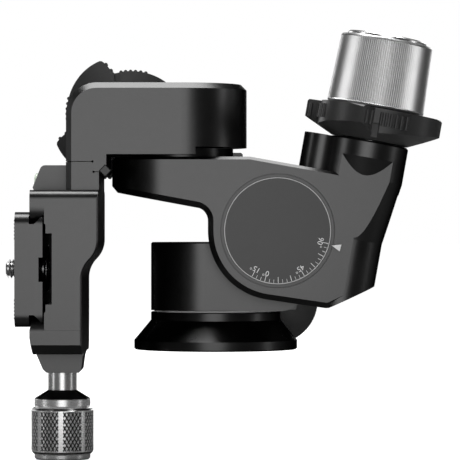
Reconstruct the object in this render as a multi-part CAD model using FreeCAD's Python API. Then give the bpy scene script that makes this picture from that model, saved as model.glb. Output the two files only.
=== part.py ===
"""Geared tripod head: a pan base, a worm-driven tilt axis, a worm-driven roll axis and a dovetail clamp.

Frame, in millimetres: the origin is where the pan axis meets the base's bottom face. X points to the
right seen from the dial side, Y points from the dial towards the back, and Z points up. The tilt axis
runs along Y. The head is drawn tilted to its 90 degree mark, so that the clamp faces left.
"""
import FreeCAD, Part
import math
import os

V = FreeCAD.Vector
UP = V(0, 0, 1)
BACK = V(0, 1, 0)
RIGHT = V(1, 0, 0)

# ---------------------------------------------------------------- clearances and common sizes
RUN = 0.03            # radial running clearance of a shaft in its bush
SIDE = 0.10           # end play beside a collar, washer or gear
FAR = 99.0            # reaches past every part
GAP = 0.5             # free air between parts that pass each other
SHADOW = 0.15         # closed split line between two parts
EDGE = 2.0            # chamfer along the front edges of the castings

# ---------------------------------------------------------------- base and pan axis
BASE_R = 30.0         # rim of the round base
BASE_RIM = 3.4        # height of the straight rim
BASE_FLARE_TOP = 10.8
BASE_RING_TOP = 13.8
PAN_R = 23.8          # pan housing barrel, and the ring on top of the base
PAN_GROOVE = 0.6      # dark groove between base and housing
PAN_TOP = 39.35
PAN_BLEND_R = 20.0    # blend from the barrel into the housing's flat front
SOCKET_R = 4.76       # 3/8"-16 socket in the base
SOCKET_DEPTH = 11.8
INSERT_WALL = 2.2
SPINDLE_R = 9.0
SPINDLE_TOP = 28.0
SPINDLE_FOOT_R = 14.0
SPINDLE_FOOT = 2.0
SPINDLE_END_R = 6.0
NUT_R = 12.0
NUT_H = 4.0
BUSH_WALL = 1.5
CAP_H = 2.0
CAP_R = 13.5

# ---------------------------------------------------------------- tilt axis
TILT_X = 22.2
TILT_Z = 43.5
FACE_Y = -38.0        # front face of the tilt body
BACK_Y = -20.9        # back face of the tilt body beside the housing
EAR_R = 20.0
EAR_RIGHT = 11.0      # how far the ear reaches right of the tilt axis
EAR_CORNER = 10.0
EAR_BACK = 4.0
TILT_SHAFT_R = 8.0
END_DISC_R = 11.0
END_DISC_HOLE_R = 2.5
END_DISC_T = 2.0
LOBE_R = 24.8         # round lobe of the tilt body round the dial
DIAL_R = 19.06
DIAL_BORE_R = 20.4
DIAL_T = 2.4
DIAL_INSET = 0.2

# ---------------------------------------------------------------- worm drives
MODULE = 0.6          # tooth module of both drives
WORM_R = 4.2          # pitch radius of the worms
WORM_HALF = 8.0       # half of the threaded length
WORM_SHAFT_R = 3.0
TOOTH_PLAY = 0.16     # play on each side of a tooth
GEAR_W = 6.0
TILT_TEETH = 76
ROLL_TEETH = 65
CAVITY_PLAY = 0.3

# ---------------------------------------------------------------- worm housing on the tilt body
WORM_LEAN = 10.05     # lean of the worm from upright, degrees
WORM_Y = -27.0
HOUSE_FOOT = -24.0    # lower end of the housing's blank along the worm axis
HOUSE_SLIM_R = 10.9
HOUSE_FAT_R = 14.3
HOUSE_SLIM_TOP = 1.7
HOUSE_CONE_TOP = 23.9
RING_LOW = 31.2
RING_TOP = 37.2
SKIRT_LOW = 24.85     # where the skirt under the ring comes out of the flat front
SIDE_BOSS_R = 6.9
SIDE_BOSS_OUT = 16.5
SIDE_BOSS_TOP = 36.9
HOUSE_BACK_CUT = 10.5
HOUSE_RELIEF_TOP = 27.0
HOUSE_SLOPE_TOP = 20.0
SWING_FIRST = 54      # tilt angles at which the tilt body passes the base
SWING_LAST = 104
SWING_STEP = 5

# ---------------------------------------------------------------- collar and knob, along the worm axis
COLLAR_GAP = 0.4
COLLAR_H = 11.3
COLLAR_TAPER_H = 5.1
COLLAR_TIP_R = 24.8
COLLAR_MIN_R = 19.1
COLLAR_WINGS = 4
TILT_PEAK = -12.0     # angle of a wing's tip from the front
ROLL_PEAK = -17.0
COLLAR_DROP = 10.2    # degrees over which a wing falls from tip to root
COLLAR_TAPER_DEG = 25.0
COLLAR_STEP = 2       # degrees between the points of a collar's outline
RIB_FIRST = -46.3     # angle of the first grip rib of a wing from its tip
RIB_PITCH = 5.15
RIB_COUNT = 6
RIB_STEEP = (3.7, 7.5)
RIB_R = 0.65
NOTCH_TURN = 14.0     # notch in the collar's lower half, from the tip
NOTCH_W = 2.3
NOTCH_R = 16.0
NOTCH_H = 6.0
KNOB_GAP = 0.4
KNOB_H = 24.9
KNOB_EDGE = 0.7
KNOB_R = 17.5
KNOB_TOP_R = 16.5
KNOB_CAP_R = 14.4
KNOB_CAP_UP = 1.3
KNOB_CAP_H = 3.0
KNOB_WALL = 3.0

# ---------------------------------------------------------------- arm and roll axis
ARM_TOP = 69.9
ARM_END_X = -17.9     # centre of the arm's round end
ARM_END_R = 19.5
ARM_UNDER_LEFT = 58.1
ARM_UNDER_SLOPE = 10.5
ARM_TOP_EDGE = 1.0
BEND_X = 12.4         # where the top edge starts to fall towards the worm housing
PLATE_TOP_X = 41.5    # where the plate's top edge runs into the worm housing
PLATE_TOP_Z = 64.7
PLATE_FOOT_X = 45.2
CHIN_X = 40.1         # lowest corner of the tilt body
CHIN_Z = 15.8
CHIN_SLOPE = 0.4545   # rise of the edge from the chin to the housing's foot
CHIN_ROUND = 4.0
THROAT_ROUND = 5.0
ROLL_X = -12.0
ROLL_Y = -18.5
BLOCK_R = 23.3
BLOCK_TOP = 96.2
BLOCK_LOW = 73.4
LEG_LOW = 70.7
LEG_RIGHT = -7.0
BLOCK_LEFT = -53.0
BLOCK_CORNER = 11.0
NECK_R = 18.4
ROLL_SHAFT_R = 8.0
ROLL_WORM_Z = 83.15
ROLL_SHAFT_TOP = 92.0
STOP_OUT = 3.5
STOP_H = 1.8
STOP_W = 3.0
BLOCK_EDGE = 2.0
STEM_RIGHT = -38.6
STEM_FOOT_RIGHT = -41.2
STEM_LOW = 57.9
SLIT_W = 0.25
SLIT_END_R = 0.4
SLIT_UPPER_Z = 68.05
SLIT_UPPER_END = -43.5
SLIT_LOWER_Z = 64.4
SLIT_LOWER_END = -43.1
LOCK_BAR_X = -38.96   # square bar that wedges the lower slit
LOCK_BAR_Z = 64.8
LOCK_BAR_W = 3.2
LOCK_BAR_FRONT = -42.4
LOCK_BAR_BACK = -28.0
LOCK_BAR_EDGE = 0.3

# ---------------------------------------------------------------- clamp
CLAMP_LONG = 60.0
CLAMP_OUT_X = -65.4   # outer face of the jaws
CLAMP_IN_X = -41.3
CLAMP_SLIM_X = -47.1
CLAMP_STEP_HIGH = 40.2
CLAMP_STEP_LOW = 26.2
CLAMP_SPLIT = 8.35
JAW_GAP = 0.05        # closed split line between clamp and jaw
CLAMP_FOOT = -0.2
CLAMP_EDGE = 0.5      # chamfer round the clamp's front and back ends
CLAMP_TOP_ROUND = 3.2
HOOK_ROUND = 6.0      # rounding of the jaw tips at the clamp's ends
JAW_FOOT_EDGE = 3.4
JAW_NOSE = 10.0       # half length of the nose that carries the screw
BRACKET_TOP = 67.2    # bracket that ties the clamp to the block
BRACKET_SCREW_Z = 63.4
LEVEL_R = 3.2
LEVEL_Z = 61.4
LEVEL_X = -66.4
LEVEL_FROM_END = 16.0
FLOOR_X = -60.2
CHANNEL_X = -57.5
CHANNEL_LOW = 17.5
CHANNEL_HIGH = 42.6
GRIP_Z = 29.8         # centre line of the dovetail
DOVE_BASE = 38.1      # dovetail width at its base
DOVE_H = 3.0
DOVE_PLAY = 0.10
NOSE_LOW = -7.5
SCREW_X = -55.4       # axis of the clamp screw
SCREW_R = 3.0
SCREW_TOP = 16.8
JAW_SPRING_R = 3.7
JAW_SPRING_WIRE = 0.4
JAW_SPRING_H = 4.8
PIN_X = -52.6         # guide pins of the movable jaw
PIN_R = 1.5
PIN_APART = 36.0
PIN_IN = 14.0
PIN_OUT = 7.0

# ---------------------------------------------------------------- camera plate
PLATE_OUT_X = -70.7
PLATE_DECK_X = -65.6
PLATE_IN_X = -60.8
PLATE_W = 40.6
PLATE_CORNER = 4.4
PLATE_RIB_PITCH = 1.27
PLATE_RIB_UP = 0.5
CAM_R = 3.175         # 1/4"-20 camera screw
CAM_NECK_R = 2.6      # the plain neck keeps the screw captive
CAM_OUT = 5.1
CAM_HEAD_R = 6.0
CAM_HEAD_T = 1.8
CAM_HUB_R = 2.55
CAM_HUB_T = 1.3
WELL_R = 9.0
WELL_DEPTH = 2.7
RING_R = 8.0          # centre line of the screw's wire handle
RING_WIRE_R = 0.6
RING_DEPTH = 0.1
PLATE_SLOT_W = 8.6
PLATE_SLOT_DEPTH = 1.4

# ---------------------------------------------------------------- clamp knob
CK_SHAFT_R = 5.2
CK_SHAFT_LOW = -14.0
CK_CONE_LOW = -17.1
CK_RING_R = 10.15
CK_RING_LOW = -20.0
CK_GRIP_R = 11.3
CK_GRIP_LOW = -37.3
CK_FOOT = -39.1
CK_FOOT_R = 10.1

# ---------------------------------------------------------------- pan lock knob
LOCK_X = 22.0
LOCK_Z = 17.2
LOCK_R = 16.5
LOCK_FRONT = 28.6
LOCK_BACK = 41.0
LOCK_SCREW_R = 2.5


# ================================================================ helpers
def vec(x, y, z):
    return V(x, y, z)


def cyl(radius, height, base, axis=UP):
    return Part.makeCylinder(radius, height, base, axis)


def tube(outer, inner, height, base, axis=UP):
    return cyl(outer, height, base, axis).cut(cyl(inner, height, base, axis))


def box(x0, x1, y0, y1, z0, z1):
    return Part.makeBox(x1 - x0, y1 - y0, z1 - z0, vec(x0, y0, z0))


def face_xz(points, y=0.0):
    """A flat face in an XZ plane from (x, z) corners."""
    corners = [vec(x, y, z) for x, z in points]
    return Part.Face(Part.makePolygon(corners + corners[:1]))


def slab_xz(points, y0, y1):
    """A slab with the outline (x, z), from y0 back to y1."""
    return face_xz(points, y0).extrude(vec(0, y1 - y0, 0))


def turned(profile):
    """A solid of revolution about local Z from (radius, height) corners."""
    corners = [vec(r, 0, h) for r, h in profile]
    face = Part.Face(Part.makePolygon(corners + corners[:1]))
    return face.revolve(vec(0, 0, 0), UP, 360)


def turned_at(profile, base, axis):
    shape = turned(profile)
    shape.Placement = FreeCAD.Placement(base, FreeCAD.Rotation(UP, axis))
    return shape


def edges_on(shape, test):
    """Edges whose ends and middle all pass the test."""
    picked = []
    for edge in shape.Edges:
        first, last = edge.ParameterRange
        spots = [edge.valueAt(first), edge.valueAt((first + last) / 2), edge.valueAt(last)]
        if all(test(spot) for spot in spots):
            picked.append(edge)
    return picked


def chamfer(shape, size, test):
    return shape.makeChamfer(size, edges_on(shape, test))


def fillet(shape, size, test):
    return shape.makeFillet(size, edges_on(shape, test))


def near(a, b, tol=0.01):
    return abs(a - b) < tol


def union(shapes):
    result = shapes[0]
    for shape in shapes[1:]:
        result = result.fuse(shape)
    return result.removeSplitter()


def frame_at(origin, along, outward):
    """Placement whose local Z runs along the worm and whose local X points away from its wheel."""
    side = along.cross(outward)
    matrix = FreeCAD.Matrix(outward.x, side.x, along.x, origin.x,
                            outward.y, side.y, along.y, origin.y,
                            outward.z, side.z, along.z, origin.z,
                            0, 0, 0, 1)
    return FreeCAD.Placement(matrix)


def placed(shape, frame):
    shape = shape.copy()
    shape.Placement = frame.multiply(shape.Placement)
    return shape


def save(node, shape):
    solids = shape.Solids
    result = solids[0] if len(solids) == 1 else Part.makeCompound(solids)
    result.exportStep("parts/%s.step" % node)
    print(node, len(solids), "solids", round(result.Volume, 1), "mm3", result.isValid())


# ================================================================ worm drive pieces, in local axes
def worm(frame, top):
    """Steel worm: a shaft with a single right-hand thread that meets its wheel at local -X."""
    pitch = math.pi * MODULE
    root = WORM_R - 1.2 * MODULE
    crest = WORM_R + 0.8 * MODULE
    root_half = pitch / 2 * 0.5 + 0.32 * MODULE - TOOTH_PLAY
    crest_half = pitch / 2 * 0.5 - 0.32 * MODULE - TOOTH_PLAY
    turns = int(2 * (WORM_HALF - pitch) / pitch)
    length = turns * pitch
    path = Part.makeHelix(pitch, length, WORM_R)
    profile = [vec(root - 0.1, 0, -root_half), vec(crest, 0, -crest_half),
               vec(crest, 0, crest_half), vec(root - 0.1, 0, root_half)]
    wire = Part.makePolygon(profile + profile[:1])
    thread = Part.Wire(path.Edges).makePipeShell([wire], True, True)
    thread.translate(vec(0, 0, -0.5 * pitch - pitch * (turns // 2)))
    core = turned([(0, -WORM_HALF - 5), (WORM_SHAFT_R, -WORM_HALF - 5), (WORM_SHAFT_R, -WORM_HALF),
                   (root, -WORM_HALF), (root, WORM_HALF), (WORM_SHAFT_R, WORM_HALF),
                   (WORM_SHAFT_R, top), (0, top)])
    return placed(core.fuse(thread), frame)


def wheel(frame, teeth, offset, bore):
    """Bronze worm wheel whose axis is local Y, at local X = -offset, with a space facing the worm."""
    pitch_r = MODULE * teeth / 2
    tip = pitch_r + 0.8 * MODULE
    root = pitch_r - 1.2 * MODULE
    step = 2 * math.pi / teeth
    half_pitch = step / 4 - TOOTH_PLAY / 2 / pitch_r
    lean = 0.32 * MODULE / pitch_r
    corners = []
    for index in range(teeth):
        middle = (index + 0.5) * step
        for angle, radius in ((-half_pitch - lean, root), (-half_pitch + lean, tip),
                              (half_pitch - lean, tip), (half_pitch + lean, root)):
            corners.append(vec(radius * math.cos(middle + angle) - offset, -GEAR_W / 2,
                               radius * math.sin(middle + angle)))
    blank = Part.Face(Part.makePolygon(corners + corners[:1])).extrude(vec(0, GEAR_W, 0))
    hole = cyl(bore, GEAR_W, vec(-offset, -GEAR_W / 2, 0), BACK)
    return placed(blank.cut(hole), frame)


def collar_radius(turn, peak):
    """Radius of the release collar at an angle in degrees: a slow rise, a tip and a steep fall."""
    span = 360.0 / COLLAR_WINGS
    after_tip = (turn - peak) % span
    if after_tip < COLLAR_DROP:
        rise = 1 - after_tip / COLLAR_DROP
    else:
        rise = (after_tip - COLLAR_DROP) / (span - COLLAR_DROP)
    eased = rise * rise * (3 - 2 * rise)
    return COLLAR_MIN_R + (COLLAR_TIP_R - COLLAR_MIN_R) * (rise + eased) / 2


def front_angle(turn, radius):
    """Local (x, y) of an angle measured from the front (-Y) towards local +X."""
    return radius * math.sin(math.radians(turn)), -radius * math.cos(math.radians(turn))


def collar_ribs(low, peak):
    """Round grip ribs on the wings, and the notches beside their roots."""
    ribs = []
    notches = []
    for wing in range(COLLAR_WINGS):
        tip = peak + wing * 360.0 / COLLAR_WINGS
        turns = [tip + RIB_FIRST - RIB_PITCH * rib for rib in range(RIB_COUNT)]
        for turn in turns + [tip + steep for steep in RIB_STEEP]:
            x, y = front_angle(turn, collar_radius(turn, peak))
            ribs.append(cyl(RIB_R, COLLAR_H - COLLAR_TAPER_H - 2 * RIB_R, vec(x, y, low + COLLAR_TAPER_H)))
        notch = box(-NOTCH_W / 2, NOTCH_W / 2, -COLLAR_TIP_R, -NOTCH_R, low, low + NOTCH_H)
        notch.rotate(vec(0, 0, 0), UP, tip + NOTCH_TURN)
        notches.append(notch)
    return ribs, notches


def release_collar(frame, low, bore, peak):
    """Winged collar that swings the worm out of mesh."""
    outline = []
    for step in range(0, 360, COLLAR_STEP):
        x, y = front_angle(step, collar_radius(step, peak))
        outline.append(vec(x, y, low))
    blank = Part.Face(Part.makePolygon(outline + outline[:1])).extrude(vec(0, 0, COLLAR_H))
    foot_r = COLLAR_TIP_R - COLLAR_TAPER_H / math.tan(math.radians(COLLAR_TAPER_DEG))
    limit = turned([(0, low), (foot_r, low), (COLLAR_TIP_R, low + COLLAR_TAPER_H),
                    (COLLAR_TIP_R, low + COLLAR_H - RIB_R), (COLLAR_TIP_R - RIB_R, low + COLLAR_H),
                    (0, low + COLLAR_H)])
    ribs, notches = collar_ribs(low, peak)
    ring = union([blank.common(limit)] + ribs)
    return placed(cut_all(ring, notches + [cyl(bore, COLLAR_H, vec(0, 0, low))]), frame)


def drive_sleeve(frame, low, high, outer):
    """Steel sleeve that carries the worm shaft and turns with the release collar."""
    return placed(tube(outer, WORM_SHAFT_R + RUN, high - low, vec(0, 0, low)), frame)


def drive_knob(frame, low):
    """Hollow turned grip with a slight taper and a recess for its polished top."""
    high = low + KNOB_H
    shell = turned([(WORM_SHAFT_R, low), (KNOB_R - KNOB_EDGE, low),
                    (KNOB_R, low + KNOB_EDGE), (KNOB_TOP_R, high - KNOB_EDGE), (KNOB_TOP_R - KNOB_EDGE, high),
                    (KNOB_CAP_R + SHADOW, high), (KNOB_CAP_R + SHADOW, high - KNOB_CAP_H),
                    (WORM_SHAFT_R, high - KNOB_CAP_H)])
    well = turned([(8 + KNOB_WALL, low), (KNOB_R - KNOB_WALL, low), (KNOB_TOP_R - KNOB_WALL, low + 14),
                   (8 + KNOB_WALL, low + 14)])
    return placed(shell.cut(well), frame)


def knob_cap(frame, low):
    """Polished top disc of a knob, with a raised rim."""
    high = low + KNOB_H
    rim = 1.0
    return placed(turned([(0, high - KNOB_CAP_H), (KNOB_CAP_R, high - KNOB_CAP_H),
                          (KNOB_CAP_R, high + KNOB_CAP_UP - 0.5), (KNOB_CAP_R - 0.5, high + KNOB_CAP_UP),
                          (KNOB_CAP_R - rim - 0.3, high + KNOB_CAP_UP), (KNOB_CAP_R - rim - 1, high + 0.4),
                          (0, high + 0.4)]), frame)


def spring(radius, wire_r, length, turns, base, axis=UP):
    """Closed coil spring."""
    path = Part.makeHelix(length / turns, length, radius)
    ring = Part.Wire(Part.makeCircle(wire_r, vec(radius, 0, 0), BACK))
    coil = Part.Wire(path.Edges).makePipeShell([ring], True, True)
    coil.Placement = FreeCAD.Placement(base, FreeCAD.Rotation(UP, axis))
    return coil


# ================================================================ frames of the two drives
LEAN_SIN = math.sin(math.radians(WORM_LEAN))
LEAN_COS = math.cos(math.radians(WORM_LEAN))
TILT_OFFSET = MODULE * TILT_TEETH / 2 + WORM_R
ROLL_OFFSET = MODULE * ROLL_TEETH / 2 + WORM_R
TILT_DRIVE = frame_at(vec(TILT_X + TILT_OFFSET * LEAN_COS, WORM_Y, TILT_Z - TILT_OFFSET * LEAN_SIN),
                      vec(LEAN_SIN, 0, LEAN_COS), vec(LEAN_COS, 0, -LEAN_SIN))
ROLL_DRIVE = frame_at(vec(ROLL_X - ROLL_OFFSET, ROLL_Y, ROLL_WORM_Z), BACK, vec(-1, 0, 0))
WORM_BORE_R = WORM_R + 0.8 * MODULE + CAVITY_PLAY
WORM_END = WORM_HALF + 5
TILT_WHEEL_R = MODULE * TILT_TEETH / 2 + 0.8 * MODULE
ROLL_WHEEL_R = MODULE * ROLL_TEETH / 2 + 0.8 * MODULE
SLEEVE_R = 5.6
SLEEVE_LOW = WORM_HALF + 4.5
TILT_COLLAR_LOW = RING_TOP + COLLAR_GAP
TILT_KNOB_LOW = TILT_COLLAR_LOW + COLLAR_H + KNOB_GAP
ROLL_RING_TOP = 25.5
ROLL_COLLAR_LOW = ROLL_RING_TOP + COLLAR_GAP
ROLL_KNOB_LOW = ROLL_COLLAR_LOW + COLLAR_H + KNOB_GAP
EAR_TOP = TILT_Z + EAR_R
HOUSING_Z0 = BASE_RING_TOP + PAN_GROOVE
HOUSING_FACE_Y = BACK_Y + GAP
CLAMP_Y0 = ROLL_Y - CLAMP_LONG / 2
CLAMP_Y1 = ROLL_Y + CLAMP_LONG / 2


# ================================================================ base
def base_flange():
    body = turned([(0, 0), (BASE_R - 0.5, 0), (BASE_R, 0.5), (BASE_R, BASE_RIM),
                   (PAN_R, BASE_FLARE_TOP), (PAN_R, BASE_RING_TOP - 0.3), (PAN_R - 0.3, BASE_RING_TOP),
                   (0, BASE_RING_TOP)])
    insert_hole = cyl(SOCKET_R + INSERT_WALL, SOCKET_DEPTH, vec(0, 0, 0))
    seat = cyl(SPINDLE_FOOT_R, SPINDLE_FOOT, vec(0, 0, BASE_RING_TOP - SPINDLE_FOOT))
    return body.cut(insert_hole).cut(seat)


def socket_insert():
    blank = cyl(SOCKET_R + INSERT_WALL, SOCKET_DEPTH, vec(0, 0, 0))
    return blank.cut(cyl(SOCKET_R, SOCKET_DEPTH - 1.0, vec(0, 0, 0)))


def pan_spindle():
    foot_z = BASE_RING_TOP - SPINDLE_FOOT
    end_z = SPINDLE_TOP + NUT_H + 1
    return turned([(0, foot_z), (SPINDLE_FOOT_R, foot_z), (SPINDLE_FOOT_R, BASE_RING_TOP),
                   (SPINDLE_R, BASE_RING_TOP), (SPINDLE_R, SPINDLE_TOP), (SPINDLE_END_R, SPINDLE_TOP),
                   (SPINDLE_END_R, end_z), (0, end_z)])


def pan_thrust_washer():
    inner = SPINDLE_R + BUSH_WALL + GAP
    return tube(PAN_R - 1.2, inner, PAN_GROOVE - 0.02, vec(0, 0, BASE_RING_TOP))


def pan_nut():
    ring = tube(NUT_R, SPINDLE_END_R, NUT_H, vec(0, 0, SPINDLE_TOP))
    slot = box(-NUT_R, NUT_R, -1.2, 1.2, SPINDLE_TOP + NUT_H - 1.5, SPINDLE_TOP + NUT_H)
    return ring.cut(slot.cut(cyl(SPINDLE_R, NUT_H, vec(0, 0, SPINDLE_TOP))))


# ================================================================ pan body
def pan_bush():
    low = HOUSING_Z0 + SIDE
    return tube(SPINDLE_R + RUN + BUSH_WALL, SPINDLE_R + RUN, SPINDLE_TOP - SIDE - low, vec(0, 0, low))


def pan_housing():
    barrel = cyl(PAN_R, PAN_TOP - HOUSING_Z0, vec(0, 0, HOUSING_Z0))
    barrel = barrel.cut(box(-PAN_R - 1, PAN_R + 1, -PAN_R - 1, HOUSING_FACE_Y, HOUSING_Z0 - 1, PAN_TOP + 1))
    barrel = fillet(barrel, PAN_BLEND_R, lambda p: near(p.y, HOUSING_FACE_Y) and p.x < -PAN_BLEND_R / 2)
    barrel = chamfer(barrel, 0.5, lambda p: near(p.z, PAN_TOP))
    depth = EAR_BACK - HOUSING_FACE_Y
    lobe = cyl(EAR_R, depth, vec(TILT_X, HOUSING_FACE_Y, TILT_Z), BACK)
    block = box(0, TILT_X + EAR_RIGHT, HOUSING_FACE_Y, EAR_BACK, HOUSING_Z0, TILT_Z - 4)
    block = fillet(block, EAR_CORNER,
                   lambda p: near(p.x, TILT_X + EAR_RIGHT) and near(p.z, HOUSING_Z0))
    boss_r = 8.0
    boss = cyl(boss_r, LOCK_FRONT - 1.6, vec(LOCK_X, 0, LOCK_Z), BACK)
    boss = boss.cut(box(-60, 60, -60, 60, HOUSING_Z0 - 20, HOUSING_Z0))
    body = union([barrel, lobe, block, boss])
    spindle_hole = cyl(SPINDLE_R + RUN + BUSH_WALL, SPINDLE_TOP - SIDE - HOUSING_Z0,
                       vec(0, 0, HOUSING_Z0))
    nut_well = cyl(NUT_R + GAP, PAN_TOP - SPINDLE_TOP + SIDE, vec(0, 0, SPINDLE_TOP - SIDE))
    cap_well = cyl(CAP_R, EAR_TOP - PAN_TOP + CAP_H, vec(0, 0, PAN_TOP - CAP_H))
    shaft_hole = cyl(TILT_SHAFT_R, depth, vec(TILT_X, HOUSING_FACE_Y, TILT_Z), BACK)
    screw_hole = cyl(LOCK_SCREW_R + RUN, LOCK_FRONT + 12, vec(LOCK_X, -12, LOCK_Z), BACK)
    return cut_all(body, [spindle_hole, nut_well, cap_well, shaft_hole, screw_hole])


def pan_cap():
    return turned([(0, PAN_TOP - CAP_H), (CAP_R, PAN_TOP - CAP_H), (CAP_R, PAN_TOP - 0.4),
                   (CAP_R - 0.4, PAN_TOP), (0, PAN_TOP)])


def tilt_shaft():
    front = FACE_Y + DIAL_INSET + DIAL_T
    return turned_at([(0, 0), (TILT_SHAFT_R, 0), (TILT_SHAFT_R, EAR_BACK - front),
                      (0, EAR_BACK - front)], vec(TILT_X, front, TILT_Z), BACK)


def tilt_shaft_end_disc():
    """Disc that keeps the shaft in the ear, with a flat that rests on top of the housing."""
    centre = vec(TILT_X, EAR_BACK, TILT_Z)
    disc = tube(END_DISC_R, END_DISC_HOLE_R, END_DISC_T, centre, BACK)
    flat = PAN_TOP + SHADOW
    return disc.cut(box(-FAR, FAR, EAR_BACK, FAR, flat - FAR, flat))


def tilt_dial():
    front = FACE_Y + DIAL_INSET
    disc = turned_at([(0, 0), (DIAL_R - 0.3, 0), (DIAL_R, 0.3), (DIAL_R, DIAL_T), (0, DIAL_T)],
                     vec(TILT_X, front, TILT_Z), BACK)
    return disc


def pan_lock_knob():
    edge = 1.2
    depth = LOCK_BACK - LOCK_FRONT
    return turned_at([(LOCK_SCREW_R, 0), (LOCK_R - edge, 0), (LOCK_R, edge), (LOCK_R, depth - edge),
                      (LOCK_R - edge, depth), (11, depth), (10, depth - 1.2), (LOCK_SCREW_R, depth - 1.2)],
                     vec(LOCK_X, LOCK_FRONT, LOCK_Z), BACK)


def pan_lock_screw():
    back = LOCK_BACK - 1.2
    return cyl(LOCK_SCREW_R, back + 10, vec(LOCK_X, -10, LOCK_Z), BACK)


# ================================================================ tilt body
def arm_under(x):
    """Height of the sloping underside of the arm."""
    return ARM_UNDER_LEFT - (x + 40.0) * math.tan(math.radians(ARM_UNDER_SLOPE))


def tilt_plate():
    """Front plate round the dial, with the throat under the arm and the chin at the lower right."""
    def at(x, z):
        return vec(x, FACE_Y, z)

    def chin_line(x):
        return at(x, CHIN_Z + (x - CHIN_X) * CHIN_SLOPE)

    def on_lobe(turn):
        return at(TILT_X + LOBE_R * math.cos(turn), TILT_Z + LOBE_R * math.sin(turn))

    reach = math.hypot(CHIN_X - TILT_X, CHIN_Z - TILT_Z)
    tangent = math.atan2(CHIN_Z - TILT_Z, CHIN_X - TILT_X) - math.acos(LOBE_R / reach)
    throat_turn = -math.pi
    middle = (tangent + throat_turn) / 2
    throat = on_lobe(throat_turn)
    throat_top = at(throat.x, arm_under(throat.x))
    inside = ROLL_X
    corners = [throat, throat_top, at(inside, arm_under(inside)), at(inside, ARM_TOP), at(BEND_X, ARM_TOP),
               at(PLATE_TOP_X, PLATE_TOP_Z), at(53.0, 62.4), at(49.0, 40.0), chin_line(PLATE_FOOT_X),
               at(CHIN_X, CHIN_Z),
               on_lobe(tangent)]
    edges = [Part.LineSegment(first, last).toShape() for first, last in zip(corners, corners[1:])]
    edges.append(Part.Arc(on_lobe(tangent), on_lobe(middle), throat).toShape())
    plate = Part.Face(Part.Wire(edges)).extrude(vec(0, BACK_Y - FACE_Y, 0))
    plate = fillet(plate, CHIN_ROUND, lambda p: near(p.x, CHIN_X) and near(p.z, CHIN_Z))
    plate = fillet(plate, THROAT_ROUND, lambda p: near(p.x, throat_top.x) and near(p.z, throat_top.z))
    plate = chamfer(plate, EDGE, lambda p: near(p.y, FACE_Y) and inside + 0.1 < p.x < PLATE_TOP_X + 0.5
                    and p.z < PLATE_TOP_Z - 0.5)
    return chamfer(plate, ARM_TOP_EDGE, lambda p: near(p.y, FACE_Y) and inside - 0.1 < p.x < PLATE_TOP_X + 0.5
                   and p.z > PLATE_TOP_Z - 0.5)


def arm():
    """Round-ended arm under the roll axis, with its edges broken top and bottom."""
    back = ROLL_Y + ARM_END_R
    plan = union([cyl(ARM_END_R, 60, vec(ARM_END_X, ROLL_Y, 30)), cyl(ARM_END_R, 60, vec(ROLL_X, ROLL_Y, 30)),
                  box(ARM_END_X, ROLL_X, FACE_Y, back, 30, 90)])
    slab = slab_xz([(-40, ARM_TOP), (20, ARM_TOP), (20, arm_under(20)), (-40, arm_under(-40))],
                   FACE_Y - 1, back + 1)
    body = plan.common(slab).removeSplitter()
    body = chamfer(body, ARM_TOP_EDGE, lambda p: near(p.z, ARM_TOP))
    return chamfer(body, EDGE, lambda p: near(p.z, arm_under(p.x)))


def worm_housing():
    """Leaning barrel that holds the tilt worm, with its ring, skirt and side boss."""
    barrel = turned([(0, HOUSE_FOOT), (HOUSE_SLIM_R - 1.2, HOUSE_FOOT),
                     (HOUSE_SLIM_R, HOUSE_FOOT + 1.2), (HOUSE_SLIM_R, HOUSE_SLIM_TOP),
                     (HOUSE_FAT_R, HOUSE_CONE_TOP), (HOUSE_FAT_R, RING_LOW), (0, RING_LOW)])
    front = WORM_Y - FACE_Y
    barrel = barrel.cut(box(-40, 40, -40, -front, HOUSE_FOOT - 1, RING_LOW + 1))
    skirt = turned([(0, SKIRT_LOW), (front, SKIRT_LOW), (HOUSE_FAT_R, RING_LOW), (0, RING_LOW)])
    ring = turned([(0, RING_LOW), (HOUSE_FAT_R, RING_LOW), (HOUSE_FAT_R, RING_TOP - 0.6),
                   (HOUSE_FAT_R - 0.6, RING_TOP), (0, RING_TOP)])
    boss = cyl(SIDE_BOSS_R, SIDE_BOSS_TOP, vec(-SIDE_BOSS_OUT, 0, 0))
    boss = boss.cut(box(-40, 0, -40, 40, -1, 12))
    return union([barrel, skirt, ring, boss])


def base_swings():
    """The base with some air round it, as the swinging tilt body meets it."""
    air = 0.8
    base = turned([(0, -1), (BASE_R + air, -1), (BASE_R + air, BASE_RIM + air),
                   (PAN_R + air, BASE_FLARE_TOP + air), (PAN_R + air, HOUSING_Z0 + air),
                   (0, HOUSING_Z0 + air)])
    copies = []
    for turn in range(SWING_FIRST, SWING_LAST + 1, SWING_STEP):
        copy = base.copy()
        copy.rotate(vec(TILT_X, 0, TILT_Z), BACK, -turn)
        copies.append(copy)
    return copies


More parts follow.
